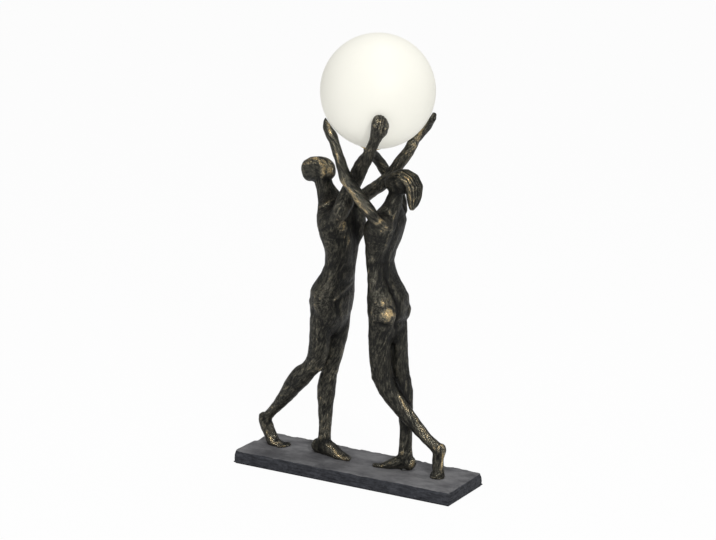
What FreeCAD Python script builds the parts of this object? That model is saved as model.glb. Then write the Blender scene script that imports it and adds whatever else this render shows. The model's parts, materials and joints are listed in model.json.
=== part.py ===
"""Table lamp: two striding cast figures on a slate slab hold up an opal glass globe.

Millimetres. +Z is up, the long edge of the slab runs along X, and the side that is usually seen faces -Y.
The origin is the centre of the underside. The figures are castings with separately cast arms. The lamp's
wiring climbs from a pocket in the slab through the right figure's standing leg, torso and far arm to a
capsule lampholder on that arm's palm. The globe and the bulb pull off along the fitting's axis.
"""
import FreeCAD
import Part
import Sketcher
import math
import os
from FreeCAD import Placement, Rotation, Vector

doc = FreeCAD.newDocument("FiguralTableLamp")

# ---------------------------------------------------------------- driving dimensions

DIMENSIONS = {
    # slab
    "base_length": 338,
    "base_width": 99,
    "base_thickness": 19.5,
    "base_draft": 4,
    "edge_chamfer": 1,
    "felt_thickness": 1.5,
    "felt_inset": 3,
    # wiring pocket, its cover and what it holds
    "pocket_x": 79,
    "pocket_y": 10,
    "pocket_length": 66,
    "pocket_width": 54,
    "pocket_depth": 12.5,
    "cover_lip": 7,
    "cover_thickness": 1.2,
    "cover_gap": 0.4,
    "cover_screw_diameter": 2.5,
    "cover_screw_length": 7,
    "bush_diameter": 10,
    "bush_bore": 6.5,
    "bush_flange": 2,
    "terminal_length": 17,
    "terminal_width": 14,
    "terminal_height": 7,
    "terminal_x": 98,
    "terminal_y": 16,
    "terminal_screw_diameter": 3,
    "terminal_pitch": 8,
    "clamp_length": 24,
    "clamp_width": 7,
    "clamp_thickness": 3,
    "clamp_y": 31,
    "clamp_screw_diameter": 3,
    "clamp_screw_pitch": 16,
    # fasteners of the feet
    "stud_diameter": 6,
    "stud_grip": 9,
    "stud_clearance": 0.3,
    "nut_width": 10,
    "nut_height": 5,
    "washer_diameter": 16,
    "washer_thickness": 1.2,
    "counterbore_diameter": 20,
    "slab_roof": 6.5,
    "tube_diameter": 10,
    "tube_bore": 6.5,
    "tube_grip": 24,
    "tube_nut_width": 14,
    "tube_nut_height": 3,
    # lead and shoulder dowels
    "lead_diameter": 3.2,
    "channel_clearance": 0.6,
    "dowel_diameter": 4,
    "dowel_length": 18,
    "hollow_dowel_diameter": 7,
    "fit_clearance": 0.05,
    # globe, its fitting and the bulb
    "globe_diameter": 150,
    "globe_wall": 2.5,
    "globe_x": 28,
    "globe_height": 507.5,
    "hand_gap": 0.4,
    "fitting_tilt": 13.5,
    "fitting_heading": -31,
    "neck_bore": 26,
    "rim_width": 2,
    "seat_gap": 0.2,
    "gasket_thickness": 1.5,
    "cup_thickness": 1.2,
    "holder_tube_diameter": 8,
    "holder_tube_bore": 5,
    "holder_tube_grip": 7,
    "holder_thread": 5,
    "holder_nut_width": 13,
    "holder_nut_height": 2.6,
    "holder_diameter": 18,
    "holder_height": 26,
    "clip_thickness": 0.5,
    "clip_gap": 0.3,
    "bulb_diameter": 15.5,
    "bulb_base_diameter": 14,
    "bulb_base_height": 10,
    "bulb_length": 52,
    "pin_spacing": 9,
    "pin_loop_width": 2.4,
    "pin_wire": 0.9,
    "pin_length": 6.5,
    "pin_clearance": 0.4,
}

sheet = doc.addObject("Spreadsheet::Sheet", "Sizes")
for row, (alias, value) in enumerate(DIMENSIONS.items(), start=1):
    sheet.set(f"A{row}", alias)
    sheet.set(f"B{row}", str(value))
    sheet.setAlias(f"B{row}", alias)
doc.recompute()


def size(alias):
    """One driving dimension, as the sheet holds it."""
    return float(sheet.get(alias))


BASE_TOP = size("base_thickness")
GLOBE_CENTRE = Vector(size("globe_x"), 0, BASE_TOP + size("globe_height"))
GLOBE_RADIUS = size("globe_diameter") / 2

# where the studs stand, on the ball of a raised foot or under the middle of a flat one
STUD_PLACES = {"left_rear": (-130, 0), "left_front": (-44, 3), "right_rear": (129, -3)}
TUBE_PLACE = (73, 5)

# ---------------------------------------------------------------- sketches and features


def sketch_on(body, name, role="XY_Plane"):
    """An empty sketch on one of the body's own origin planes."""
    sketch = body.newObject("Sketcher::SketchObject", name)
    plane = next(item for item in body.Origin.OriginFeatures if item.Role == role)
    sketch.AttachmentSupport = [(plane, "")]
    sketch.MapMode = "FlatFace"
    return sketch


def measure(sketch, kind, ends, start, expression):
    """A dimension in the sketch that follows an expression."""
    index = sketch.addConstraint(Sketcher.Constraint(kind, *ends, start))
    sketch.setExpression(f"Constraints[{index}]", expression)


def draw_rectangle(sketch, length, width, x="0", y="0"):
    """A rectangle with its centre at x, y."""
    corners = [Vector(-10, -10, 0), Vector(10, -10, 0), Vector(10, 10, 0), Vector(-10, 10, 0)]
    lines = [sketch.addGeometry(Part.LineSegment(corners[i], corners[(i + 1) % 4])) for i in range(4)]
    for i in range(4):
        sketch.addConstraint(Sketcher.Constraint("Coincident", lines[i], 2, lines[(i + 1) % 4], 1))
        sketch.addConstraint(Sketcher.Constraint("Vertical" if i % 2 else "Horizontal", lines[i]))
    measure(sketch, "DistanceX", (lines[0], 1, lines[0], 2), 20, length)
    measure(sketch, "DistanceY", (lines[1], 1, lines[1], 2), 20, width)
    measure(sketch, "DistanceX", (-1, 1, lines[0], 1), -10, f"{x} - ({length}) / 2")
    measure(sketch, "DistanceY", (-1, 1, lines[0], 1), -10, f"{y} - ({width}) / 2")


def draw_circle(sketch, diameter, x="0", y="0"):
    """A circle with its centre at x, y."""
    index = sketch.addGeometry(Part.Circle(Vector(1, 1, 0), Vector(0, 0, 1), 5))
    measure(sketch, "DistanceX", (-1, 1, index, 3), 1, str(x))
    measure(sketch, "DistanceY", (-1, 1, index, 3), 1, str(y))
    measure(sketch, "Diameter", (index,), 5, diameter)


def pad(body, sketch, length, taper="0"):
    """Raises the sketch; a taper draws the sides in towards the top."""
    feature = body.newObject("PartDesign::Pad", sketch.Name + "_pad")
    feature.Profile = sketch
    feature.setExpression("Length", length)
    feature.setExpression("TaperAngle", f"-({taper})")
    doc.recompute()
    return feature


def pocket(body, sketch, depth, upwards=True):
    """Cuts the sketch into the body and makes sure that something was cut."""
    before = body.Shape.Volume
    feature = body.newObject("PartDesign::Pocket", sketch.Name + "_pocket")
    feature.Profile = sketch
    if depth is None:
        feature.Type = "ThroughAll"
    else:
        feature.setExpression("Length", depth)
    feature.Reversed = upwards
    doc.recompute()
    if body.Shape.Volume >= before:
        raise ValueError(f"{feature.Name} cuts nothing")
    return feature


def primitive(kind, name, **expressions):
    """A Part primitive with its properties bound to the sheet; at_x, at_y and at_z place it."""
    item = doc.addObject(f"Part::{kind}", name)
    for prop, expression in expressions.items():
        path = f".Placement.Base.{prop[3:]}" if prop.startswith("at_") else prop
        item.setExpression(path, expression)
    return item


def cut(name, base, *tools):
    """The base less the tools."""
    if len(tools) > 1:
        joined = doc.addObject("Part::MultiFuse", name + "_tools")
        joined.Shapes = list(tools)
        tools = (joined,)
    item = doc.addObject("Part::Cut", name)
    item.Base, item.Tool = base, tools[0]
    return item


def fuse(name, *shapes):
    """One solid made of several that meet or overlap."""
    item = doc.addObject("Part::MultiFuse", name)
    item.Shapes = list(shapes)
    return item


def group(name, *shapes):
    """Separate solids that share a node, such as identical screws."""
    item = doc.addObject("Part::Compound", name)
    item.Links = list(shapes)
    return item


def feature(name, shape, place=None):
    """A Part::Feature that holds a shape made with Part's own functions."""
    item = doc.addObject("Part::Feature", name)
    item.Shape = shape
    item.Placement = place or Placement()
    return item


# ---------------------------------------------------------------- forms of the castings

TORSO_SIDES = 18
LIMB_SIDES = 14
RING_STEP = 11
ACROSS = Vector(0, 1, 0)


def blend(before, start, end, after, share):
    """A point of the smooth curve through four neighbouring stations."""
    return [
        0.5 * (2 * b + (c - a) * share + (2 * a - 5 * b + 4 * c - d) * share**2
               + (3 * b - a - 3 * c + d) * share**3)
        for a, b, c, d in zip(before, start, end, after)
    ]


def fill_in(stations):
    """Stations about a ring step apart, on the curve through the given ones."""
    filled = []
    last = len(stations) - 1
    for i in range(last):
        near = [stations[max(i - 1, 0)], stations[i], stations[i + 1], stations[min(i + 2, last)]]
        count = max(1, round(math.dist(near[1][:3], near[2][:3]) / RING_STEP))
        filled += [blend(*near, k / count) for k in range(count)]
    return filled + [list(stations[last])]


def ring(centre, direction, half_width, half_depth, sides):
    """A closed polygon on an ellipse, square to the limb's direction."""
    across = (ACROSS - direction * ACROSS.dot(direction)).normalize()
    along = direction.cross(across)
    corners = [
        centre + across * (half_width * math.cos(turn)) + along * (half_depth * math.sin(turn))
        for turn in (2 * math.pi * (k + 0.5) / sides for k in range(sides))
    ]
    return Part.makePolygon(corners + corners[:1])


def limb(stations, sides=LIMB_SIDES):
    """A loft through rings. A station is x, y, height over the slab, half width, half depth."""
    filled = fill_in(stations)
    centres = [Vector(x, y, BASE_TOP + height) for x, y, height, _, _ in filled]
    rings = []
    for i, (_, _, _, half_width, half_depth) in enumerate(filled):
        direction = centres[min(i + 1, len(centres) - 1)] - centres[max(i - 1, 0)]
        rings.append(ring(centres[i], direction.normalize(), half_width, half_depth, sides))
    return Part.makeLoft(rings, True, True)


def seat(rows):
    """The two buttocks, one each side of the middle. A row is x, height over the slab and two radii."""
    return [limb([(x, side * 17.5, height, half_width, half_depth) for x, height, half_width, half_depth in rows])
            for side in (-1, 1)]


def arm_point(side, share, offset):
    """A place along an arm, as a share of the way from its shoulder to its hand, and an offset."""
    direction, depth = HANDS[side]
    hand = GLOBE_CENTRE + Vector(*direction).normalize() * (GLOBE_RADIUS + depth)
    shoulder = Vector(*SHOULDERS[side]) + Vector(0, 0, BASE_TOP)
    return shoulder + (hand - shoulder) * share + Vector(*offset)


def arm(side):
    """An arm from inside the shoulder to the hand, which follows the globe."""
    rows = []
    for share, offset, half_width, half_depth in ARMS[side]:
        x, y, z = arm_point(side, share, offset)
        rows.append((x, y, z - BASE_TOP, half_width, half_depth))
    return limb(rows)


def below_slab_top():
    """All that lies under the slab's top face, to cut the soles flat."""
    length, width = size("base_length"), size("base_width")
    return Part.makeBox(length, width, BASE_TOP, Vector(-length / 2, -width / 2, 0))


def globe_with_gap():
    """The ball that the hands stay clear of."""
    return Part.makeSphere(GLOBE_RADIUS + size("hand_gap"), GLOBE_CENTRE)


def cylinder(diameter, start, end):
    """A round bar from one point to another."""
    line = end - start
    return Part.makeCylinder(diameter / 2, line.Length, start, line)


# ---------------------------------------------------------------- the fitting's axis

TILT = Rotation(Vector(0, 0, 1), size("fitting_heading")) * Rotation(Vector(0, 1, 0), size("fitting_tilt"))
FITTING = Placement(GLOBE_CENTRE, TILT)
FITTING_AXIS = TILT.multVec(Vector(0, 0, 1))

# levels along the fitting's axis, counted from the globe's centre
RIM_LEVEL = -math.sqrt(GLOBE_RADIUS**2 - (size("neck_bore") / 2 + size("rim_width"))**2)
GASKET_LEVEL = RIM_LEVEL - size("seat_gap") - size("gasket_thickness")
PALM_LEVEL = GASKET_LEVEL - size("cup_thickness")
HOLDER_LEVEL = GASKET_LEVEL + size("holder_nut_height")
BULB_LEVEL = HOLDER_LEVEL + size("holder_height")


def on_axis(level):
    """The point of the fitting's axis at a level."""
    return GLOBE_CENTRE + FITTING_AXIS * level


# ---------------------------------------------------------------- the lead's route

DOWEL_IN = Vector(43, 27, BASE_TOP + 327)
DOWEL_OUT = Vector(38, 39.5, BASE_TOP + 364)

LEAD_ROUTE = [
    Vector(size("terminal_x") - size("terminal_length") / 2, 13, 6),
    Vector(size("terminal_x") - size("terminal_length") / 2 - 4, 13, 6),
    Vector(TUBE_PLACE[0], TUBE_PLACE[1], 5.8),
    Vector(TUBE_PLACE[0], TUBE_PLACE[1], BASE_TOP + 36),
    Vector(71.5, 8, BASE_TOP + 76),
    Vector(65, 11, BASE_TOP + 118),
    Vector(57.5, 13, BASE_TOP + 152),
    Vector(51, 13, BASE_TOP + 205),
    Vector(43, 8, BASE_TOP + 245),
    Vector(35.5, 8, BASE_TOP + 285),
    DOWEL_IN,
    DOWEL_OUT,
    Vector(25.5, 43.5, BASE_TOP + 383),
    Vector(15, 38.5, BASE_TOP + 400),
    Vector(10.5, 25, BASE_TOP + 414.5),
    on_axis(PALM_LEVEL - 11),
    on_axis(HOLDER_LEVEL),
]
ARC_SHARE = 0.3


def route_wire(points):
    """Straight runs joined by tangent arcs, each arc as large as its shorter run allows."""
    edges = []
    start = points[0]
    for before, corner, after in zip(points, points[1:], points[2:]):
        run_in, run_out = before - corner, after - corner
        back = ARC_SHARE * min(run_in.Length, run_out.Length)
        into = corner + run_in.normalize() * back
        out = corner + run_out.normalize() * back
        half_turn = (math.pi - run_in.getAngle(run_out)) / 2
        radius = back / math.tan(half_turn)
        to_centre = (run_in + run_out).normalize()
        middle = corner + to_centre * (radius / math.cos(half_turn) - radius)
        edges += [Part.LineSegment(start, into).toShape(), Part.Arc(into, middle, out).toShape()]
        print(f"lead arc radius {radius:.1f}")
        start = out
    edges.append(Part.LineSegment(start, points[-1]).toShape())
    return Part.Wire(edges)


LEAD_WIRE = route_wire(LEAD_ROUTE)


def tube_along(wire, diameter):
    """A round solid along the route."""
    first = wire.Edges[0]
    profile = Part.makeCircle(diameter / 2, wire.Vertexes[0].Point, first.tangentAt(first.FirstParameter))
    return wire.makePipeShell([Part.Wire([profile])], True, False)


def lead_channel():
    """The cored channel that the lead lies in."""
    return tube_along(LEAD_WIRE, size("lead_diameter") + 2 * size("channel_clearance"))


# ---------------------------------------------------------------- the castings

LEFT_TORSO = [
    (-42, 0, 172, 10, 9), (-41, 0, 186, 24, 17), (-40, 0, 203, 35, 23.5), (-39.5, 0, 221, 38.5, 25.5),
    (-38.8, 0, 233, 38.5, 26.5), (-34.5, 0, 244, 36, 23), (-31, 0, 255, 32, 19.5), (-27.5, 0, 268, 29.5, 17.8),
    (-25, 0, 286, 30.5, 18.3), (-26, 0, 303, 36, 19.8), (-28.5, 0, 320, 42, 21.8), (-32, 0, 338, 43, 22.5),
    (-39.5, 0, 351, 31, 18), (-46, 0, 362, 17, 14.5), (-52, 0, 374, 12, 12), (-57, 0, 388, 11, 12),
]
LEFT_SEAT = [(-40, 239, 5, 6), (-44, 232, 12, 12.5), (-46.5, 221, 15.5, 16), (-46, 211, 14.5, 15), (-43, 203, 9, 10)]
LEFT_NEAR_LEG = [
    (-43, -16, 232, 17, 18), (-45.5, -17, 208, 17, 15.5), (-48, -16, 180, 15, 15), (-51, -15, 154, 13.5, 14.5),
    (-57, -13, 136, 12.5, 13.5), (-69, -12, 121, 12.5, 12.3), (-81.5, -11, 109.5, 12, 14.8), (-96.5, -9, 92.5, 11.5, 13),
    (-109, -7, 76, 9.8, 10.5), (-125, -4, 58, 7.4, 7.8), (-135, -2, 48, 6.8, 7.2), (-143, -1, 38, 7, 7.5),
    (-147, -1, 32, 6.4, 6.8),
]
LEFT_NEAR_FOOT = [
    (-153, -1, 43, 4, 4), (-149, -1, 37, 7, 9), (-143.5, -1, 26, 7.5, 10.5), (-138.5, 0, 14, 7.6, 10),
    (-134, 0, 5, 8.5, 10), (-131, 0, -3, 8.5, 11),
]
LEFT_NEAR_TOES = [
    (-141, 0, 5, 7, 5), (-132, 0, 4.5, 9, 6), (-124, 0, 3, 9.3, 5), (-117, 0, 1, 8, 3),
]
LEFT_FAR_LEG = [
    (-34, 16, 228, 16, 18), (-36.5, 16, 203, 15, 16), (-39.5, 16, 175, 14, 15), (-44.5, 14, 146, 13, 13.5),
    (-51, 12, 114, 11.5, 12), (-54, 10, 91, 12, 13.5), (-54, 8, 68, 10, 11), (-53, 6, 41, 8.8, 9),
    (-53.5, 5, 22, 8.8, 9.5), (-55, 4.5, 8, 9, 11),
]
LEFT_FAR_FOOT = [
    (-72, 6, 7, 6, 6), (-67, 6, 8, 8.6, 10), (-56, 5, 11, 9.5, 14), (-42, 3, 8, 10, 10.5), (-28, 1, 3, 11, 7),
    (-17, 0, 1, 10, 4), (-12, 0, 0, 7, 2.5),
]
LEFT_HEAD = [
    (-86, 0, 392.5, 5, 7), (-81.5, 0, 393.5, 10.5, 12.5), (-72, 0, 395, 14.2, 16.6), (-60, 0, 396, 15, 17.6),
    (-49, 0, 396.5, 13.2, 16), (-41, 0, 397, 9, 12), (-37.5, 0, 397.5, 5, 8),
]

RIGHT_TORSO = [
    (46, 0, 172, 10, 9), (46, 0, 186, 24, 16), (46.5, 0, 203, 35, 21.5), (47, 0, 220, 38.5, 24),
    (46.5, 0, 233, 38, 24.5), (42.5, 0, 244, 36, 20.5), (39, 0, 256, 32.5, 17), (36.5, 0, 268, 29, 15.3),
    (34.2, 0, 282, 27.5, 15.4), (34.8, 0, 298, 31.5, 17.2), (38.5, 0, 313, 37.5, 18.8), (42, 0, 326, 40, 19.2),
    (45, 0, 338, 41, 18.5), (48.5, 0, 350, 29, 14.5), (52.5, 0, 361, 14.5, 11.5), (56, 0, 374, 10, 9.8),
    (60, 0, 388, 10.5, 10),
]
RIGHT_SEAT = [(47, 235, 5, 6), (51, 228, 12, 13), (54, 217, 15.5, 16.5), (52.5, 207, 14, 15), (49, 199, 8, 10)]
RIGHT_NEAR_LEG = [
    (46, -16, 232, 17, 18), (43.5, -16, 193, 15.5, 16), (43.5, -15, 165, 14, 15), (45.5, -13, 136, 13, 14.5),
    (53.5, -10, 112, 12, 13.5), (70, -7, 91.5, 11, 11.8), (91, -4, 68.5, 9, 9.5), (110.5, -2, 49, 7.4, 7.8),
    (121, -1, 42, 7.2, 8), (128, -1, 33, 6.4, 7),
]
RIGHT_NEAR_FOOT = [
    (131, -1, 46, 5, 5), (129, -1, 40, 7.5, 8.5), (125.5, -1, 24, 7.6, 8), (127, -2, 9, 8, 8), (128, -3, -3, 9, 9),
]
RIGHT_FAR_LEG = [
    (49, 16, 228, 16, 16), (50.5, 16, 190, 15, 15), (55, 14, 163, 13.5, 13.5), (60, 12, 134, 12, 12),
    (67, 10, 108, 11.5, 12.5), (70.5, 8, 84, 10, 11), (73, 6, 55, 8.6, 9), (73, 5, 34, 8.6, 9),
    (73, 5, 14, 9, 11), (73, 5, 6, 9, 12),
]
RIGHT_FAR_FOOT = [
    (87, 6, 7, 5, 5), (83, 6, 8, 8, 9), (74, 5, 11, 9, 13), (62, 3, 8, 9.5, 9), (49, 0, 3, 10, 6), (40, -2, 1, 9, 3.6),
    (36, -3, 0, 6, 2.4),
]
RIGHT_HEAD = [
    (43.5, 0, 384, 5, 7), (47, 0, 386, 11, 11.5), (55, 0, 389, 14.8, 15.5), (65, 0, 392, 15.8, 17),
    (75, 0, 393, 14, 15), (82, 0, 393, 7, 9),
]
RIGHT_HAIR = [
    (58, 0, 398, 12, 8), (68, 0, 400, 15, 9.5), (77.5, 0, 395.5, 16, 10.5), (83.5, 0, 386, 15.5, 10.5),
    (83.5, 0, 374, 13, 9.5), (82.5, 0, 364, 9, 7.5), (81, 0, 356, 4, 3.5),
]

# a hand lies on the globe where a ray from its centre leaves it: direction, and depth of the palm's middle
HANDS = {
    "left_near": ((0.493, -0.788, -0.367), 10),
    "left_far": ((0.79, 0.408, -0.46), 3.5),
    "right_near": ((-0.631, -0.514, -0.581), 2.8),
    "right_far": ((-0.2, 0.12, -0.972), 11),
}
SHOULDERS = {
    "left_near": (-31, -30, 332),
    "left_far": (-30, 28, 332),
    "right_near": (46, -28, 332),
    "right_far": (42, 27, 331),
}

# along each arm: share of the way from shoulder to hand, offset from that line, half width, half depth
ARMS = {
    "left_near": [
        (0.00, (-2, 8, -4), 8, 9), (0.16, (8, 0, -5), 12, 12.5), (0.26, (4, 9, -1), 11, 12), (0.34, (3, 13, 2), 10, 11),
        (0.43, (2, 14, 2), 10, 10.5), (0.55, (1, 12, 2), 9.5, 10.5), (0.67, (3, 9, 0), 8.5, 8.5),
        (0.76, (3, 5, -1), 7.3, 7.2), (0.84, (3, 3, -1), 7, 7), (0.90, (2, 2, -1), 8.5, 8.5),
        (0.95, (2, 1, -1), 11, 11.5), (1.01, (0, 0, 0), 11.5, 12), (1.06, (-3, 0, 2), 9, 9),
        (1.09, (-4, 0, 3), 5, 5),
    ],
    "left_far": [
        (0.00, (-2, -6, -3), 8, 9), (0.09, (-4, 5, 3), 10.5, 11.5), (0.18, (-3, 3, 1), 9.5, 10), (0.30, (2, -1, -2), 9, 9.4),
        (0.40, (6, -5, -5), 9, 9.4), (0.51, (7, -5, -6), 8.6, 9), (0.59, (5, -4, -4), 8.2, 8.4),
        (0.70, (4, -1, -3), 8, 8), (0.79, (0, 2, 0), 7.6, 7), (0.85, (0, 4, -1), 6.8, 5.6), (0.93, (1, 3, -1), 8, 5),
        (1.00, (0, 1, 0), 8.6, 4.6), (1.05, (-2, 0, 2), 5, 3.2),
    ],
    "right_near": [
        (0.00, (-2, 6, -4), 8, 8.5), (0.08, (7, -8, 3), 9.5, 10), (0.18, (9, -15, 3), 9, 9), (0.30, (7, -18, 2), 8.6, 8.4),
        (0.42, (5, -20, 1), 9, 8.6), (0.53, (2, -20, -1), 9, 8.6), (0.61, (2, -17, -1), 7.8, 7.2),
        (0.77, (1, -10, 0), 6.8, 6.6), (0.87, (1, -6, 0), 7, 6.8), (0.94, (0, -3, 0), 9.5, 7.8),
        (1.00, (0, 0, 0), 10.5, 8), (1.05, (1, 2, 1), 8, 6), (1.08, (2, 3, 2), 4.5, 3.5),
    ],
    "right_far": [
        (0.00, (0, -6, -4), 8, 9), (0.13, (5, 9, 4), 10.5, 11), (0.30, (5, 18, 5), 9.5, 9.5), (0.43, (2, 24, 5), 9, 9),
        (0.56, (-3, 26, 4), 8.4, 8.4), (0.66, (-5, 25, 3), 7.6, 7.6), (0.78, (-5, 22, 2), 7.2, 7.2),
        (0.89, (-4, 15, 1), 7, 7), (1.0, (1, 3, -1), 7, 7),
    ],
}


def palm():
    """The far palm, a round boss that carries the fitting."""
    levels = [(0, 9.2), (4, 9.2), (10, 8.6), (15, 7), (18, 4)]
    rings = [ring(on_axis(PALM_LEVEL + 0.5 - drop), FITTING_AXIS, r, r, LIMB_SIDES) for drop, r in levels]
    return Part.makeLoft(rings, True, True)


def dowel_ends(side):
    """The two ends of a shoulder dowel, along the first stretch of the arm."""
    start, end = (arm_point(side, *station[:2]) for station in ARMS[side][:2])
    direction = (end - start).normalize()
    middle = start + direction * size("dowel_length") * 0.75
    half = direction * (size("dowel_length") / 2)
    return middle - half, middle + half


DOWELS = {side: dowel_ends(side) for side in ("left_near", "left_far", "right_near")}


def dowel_hole(side):
    """The bore for one shoulder dowel."""
    return cylinder(size("dowel_diameter") + 2 * size("fit_clearance"), *DOWELS[side])


def hollow_dowel_ends():
    """The tube dowel lies on the straight run of the lead through the far shoulder."""
    line = (DOWEL_OUT - DOWEL_IN).normalize()
    middle = (DOWEL_IN + DOWEL_OUT) / 2
    half = line * ((1 - 2 * ARC_SHARE) * (DOWEL_OUT - DOWEL_IN).Length / 2)
    return middle - half, middle + half


def stud_hole(place, diameter, grip):
    """A blind hole in a foot, for a stud that stands at a place of the slab."""
    start = Vector(*place, 0)
    return cylinder(diameter + 2 * size("fit_clearance"), start, start + Vector(0, 0, BASE_TOP + grip))


def make_left_figure():
    """Body and two arms of the left figure."""
    body = limb(LEFT_TORSO, TORSO_SIDES).fuse([
        limb(LEFT_NEAR_LEG), limb(LEFT_NEAR_FOOT), limb(LEFT_NEAR_TOES), limb(LEFT_FAR_LEG),
        limb(LEFT_FAR_FOOT), limb(LEFT_HEAD), *seat(LEFT_SEAT),
    ])
    near = arm("left_near").cut([body, globe_with_gap()])
    far = arm("left_far").cut([body, globe_with_gap()])
    holes = [stud_hole(STUD_PLACES[foot], size("stud_diameter"), size("stud_grip"))
             for foot in ("left_rear", "left_front")]
    body = body.cut([below_slab_top(), dowel_hole("left_near"), dowel_hole("left_far"), *holes])
    return [
        feature("figure_left_body", body),
        feature("figure_left_near_arm", near.cut(dowel_hole("left_near"))),
        feature("figure_left_far_arm", far.cut(dowel_hole("left_far"))),
    ]


def make_right_figure():
    """Body and two arms of the right figure, cored for the lead."""
    body = limb(RIGHT_TORSO, TORSO_SIDES).fuse([
        limb(RIGHT_NEAR_LEG), limb(RIGHT_NEAR_FOOT), limb(RIGHT_FAR_LEG), limb(RIGHT_FAR_FOOT),
        limb(RIGHT_HEAD), limb(RIGHT_HAIR), *seat(RIGHT_SEAT),
    ])
    near = arm("right_near").cut([body, globe_with_gap()])
    above_palm = cylinder(60, on_axis(PALM_LEVEL), on_axis(0))
    far = arm("right_far").fuse(palm()).cut([body, globe_with_gap(), above_palm])
    channel = lead_channel()
    sleeve = cylinder(size("hollow_dowel_diameter") + 2 * size("fit_clearance"), *hollow_dowel_ends())
    holder_tube = cylinder(size("holder_tube_diameter") + 2 * size("fit_clearance"),
                           on_axis(PALM_LEVEL - size("holder_tube_grip")), on_axis(PALM_LEVEL + 1))
    body = body.cut([
        below_slab_top(), dowel_hole("right_near"), sleeve, channel,
        stud_hole(STUD_PLACES["right_rear"], size("stud_diameter"), size("stud_grip")),
        stud_hole(TUBE_PLACE, size("tube_diameter"), size("tube_grip")),
    ])
    return [
        feature("figure_right_body", body),
        feature("figure_right_near_arm", near.cut(dowel_hole("right_near"))),
        feature("figure_right_far_arm", far.cut([sleeve, channel, holder_tube])),
    ]


def make_dowels():
    """Three solid shoulder dowels and the tube dowel round the lead."""
    bars = [feature(f"{side}_dowel", cylinder(size("dowel_diameter"), *ends)) for side, ends in DOWELS.items()]
    outer = cylinder(size("hollow_dowel_diameter"), *hollow_dowel_ends())
    bore = cylinder(size("lead_diameter") + 2 * size("channel_clearance"), *hollow_dowel_ends())
    return [group("shoulder_dowels", *bars), feature("hollow_dowel", outer.cut(bore))]


def make_lead():
    """The two-core lead from the terminal block to the lampholder."""
    return feature("internal_lead", tube_along(LEAD_WIRE, size("lead_diameter")))


# ---------------------------------------------------------------- slab, felt and cover

COVER_SCREWS = [
    (f"Sizes.pocket_x + {sx} * (Sizes.pocket_length + Sizes.cover_lip) / 2",
     f"Sizes.pocket_y + {sy} * (Sizes.pocket_width - Sizes.cover_lip) / 2")
    for sx in (-1, 1) for sy in (-1, 1)
]
ROOF_LEVEL = "Sizes.base_thickness - Sizes.slab_roof"


def make_slab():
    """Slate slab with drafted sides, counterbores for the nuts and a stepped wiring pocket."""
    body = doc.addObject("PartDesign::Body", "base_slab")
    body.setExpression(".Placement.Base.z", "Sizes.felt_thickness")
    outline = sketch_on(body, "slab_outline")
    draw_rectangle(outline, "Sizes.base_length", "Sizes.base_width")
    pad(body, outline, "Sizes.base_thickness - Sizes.felt_thickness", "Sizes.base_draft")

    recess = sketch_on(body, "cover_recess")
    draw_rectangle(recess, "Sizes.pocket_length + 2 * Sizes.cover_lip", "Sizes.pocket_width",
                   "Sizes.pocket_x", "Sizes.pocket_y")
    pocket(body, recess, "Sizes.cover_thickness + Sizes.cover_gap")
    cavity = sketch_on(body, "wiring_cavity")
    draw_rectangle(cavity, "Sizes.pocket_length", "Sizes.pocket_width", "Sizes.pocket_x", "Sizes.pocket_y")
    pocket(body, cavity, f"{ROOF_LEVEL} - Sizes.felt_thickness")

    counterbores = sketch_on(body, "nut_counterbores")
    for x, y in STUD_PLACES.values():
        draw_circle(counterbores, "Sizes.counterbore_diameter", x, y)
    pocket(body, counterbores, f"{ROOF_LEVEL} - Sizes.felt_thickness")
    holes = sketch_on(body, "stud_holes")
    for x, y in STUD_PLACES.values():
        draw_circle(holes, "Sizes.stud_diameter + 2 * Sizes.stud_clearance", x, y)
    draw_circle(holes, "Sizes.tube_diameter + 2 * Sizes.stud_clearance", *TUBE_PLACE)
    pocket(body, holes, None)

    screws = sketch_on(body, "cover_screw_holes")
    for x, y in COVER_SCREWS:
        draw_circle(screws, "Sizes.cover_screw_diameter", x, y)
    pocket(body, screws, "Sizes.cover_screw_length + 1")
    roof_screws = sketch_on(body, "clamp_screw_holes")
    for side in (-1, 1):
        draw_circle(roof_screws, "Sizes.clamp_screw_diameter",
                    f"Sizes.pocket_x + {side} * Sizes.clamp_screw_pitch / 2", "Sizes.clamp_y")
    pocket(body, roof_screws, f"{ROOF_LEVEL} - Sizes.felt_thickness + 3")
    entry = sketch_on(body, "cord_entry", "XZ_Plane")
    draw_circle(entry, "Sizes.bush_diameter", "Sizes.pocket_x", "Sizes.base_thickness / 2 - Sizes.felt_thickness")
    last = pocket(body, entry, None, upwards=False)

    top = body.Shape.BoundBox.ZMax - body.Placement.Base.z
    chamfer = body.newObject("PartDesign::Chamfer", "top_edge")
    rim = [f"Edge{i}" for i, edge in enumerate(last.Shape.Edges, start=1)
           if edge.BoundBox.ZMin > top - 1e-6 and edge.Length > size("base_width") / 2]
    chamfer.Base = (last, rim)
    chamfer.setExpression("Size", "Sizes.edge_chamfer")
    doc.recompute()
    return body


def make_felt():
    """Felt sheet under the slab, open round the cover."""
    body = doc.addObject("PartDesign::Body", "felt_pad")
    outline = sketch_on(body, "felt_outline")
    draw_rectangle(outline, "Sizes.base_length - 2 * Sizes.felt_inset", "Sizes.base_width - 2 * Sizes.felt_inset")
    draw_rectangle(outline, "Sizes.pocket_length + 2 * Sizes.cover_lip", "Sizes.pocket_width",
                   "Sizes.pocket_x", "Sizes.pocket_y")
    pad(body, outline, "Sizes.felt_thickness")
    return body


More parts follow.
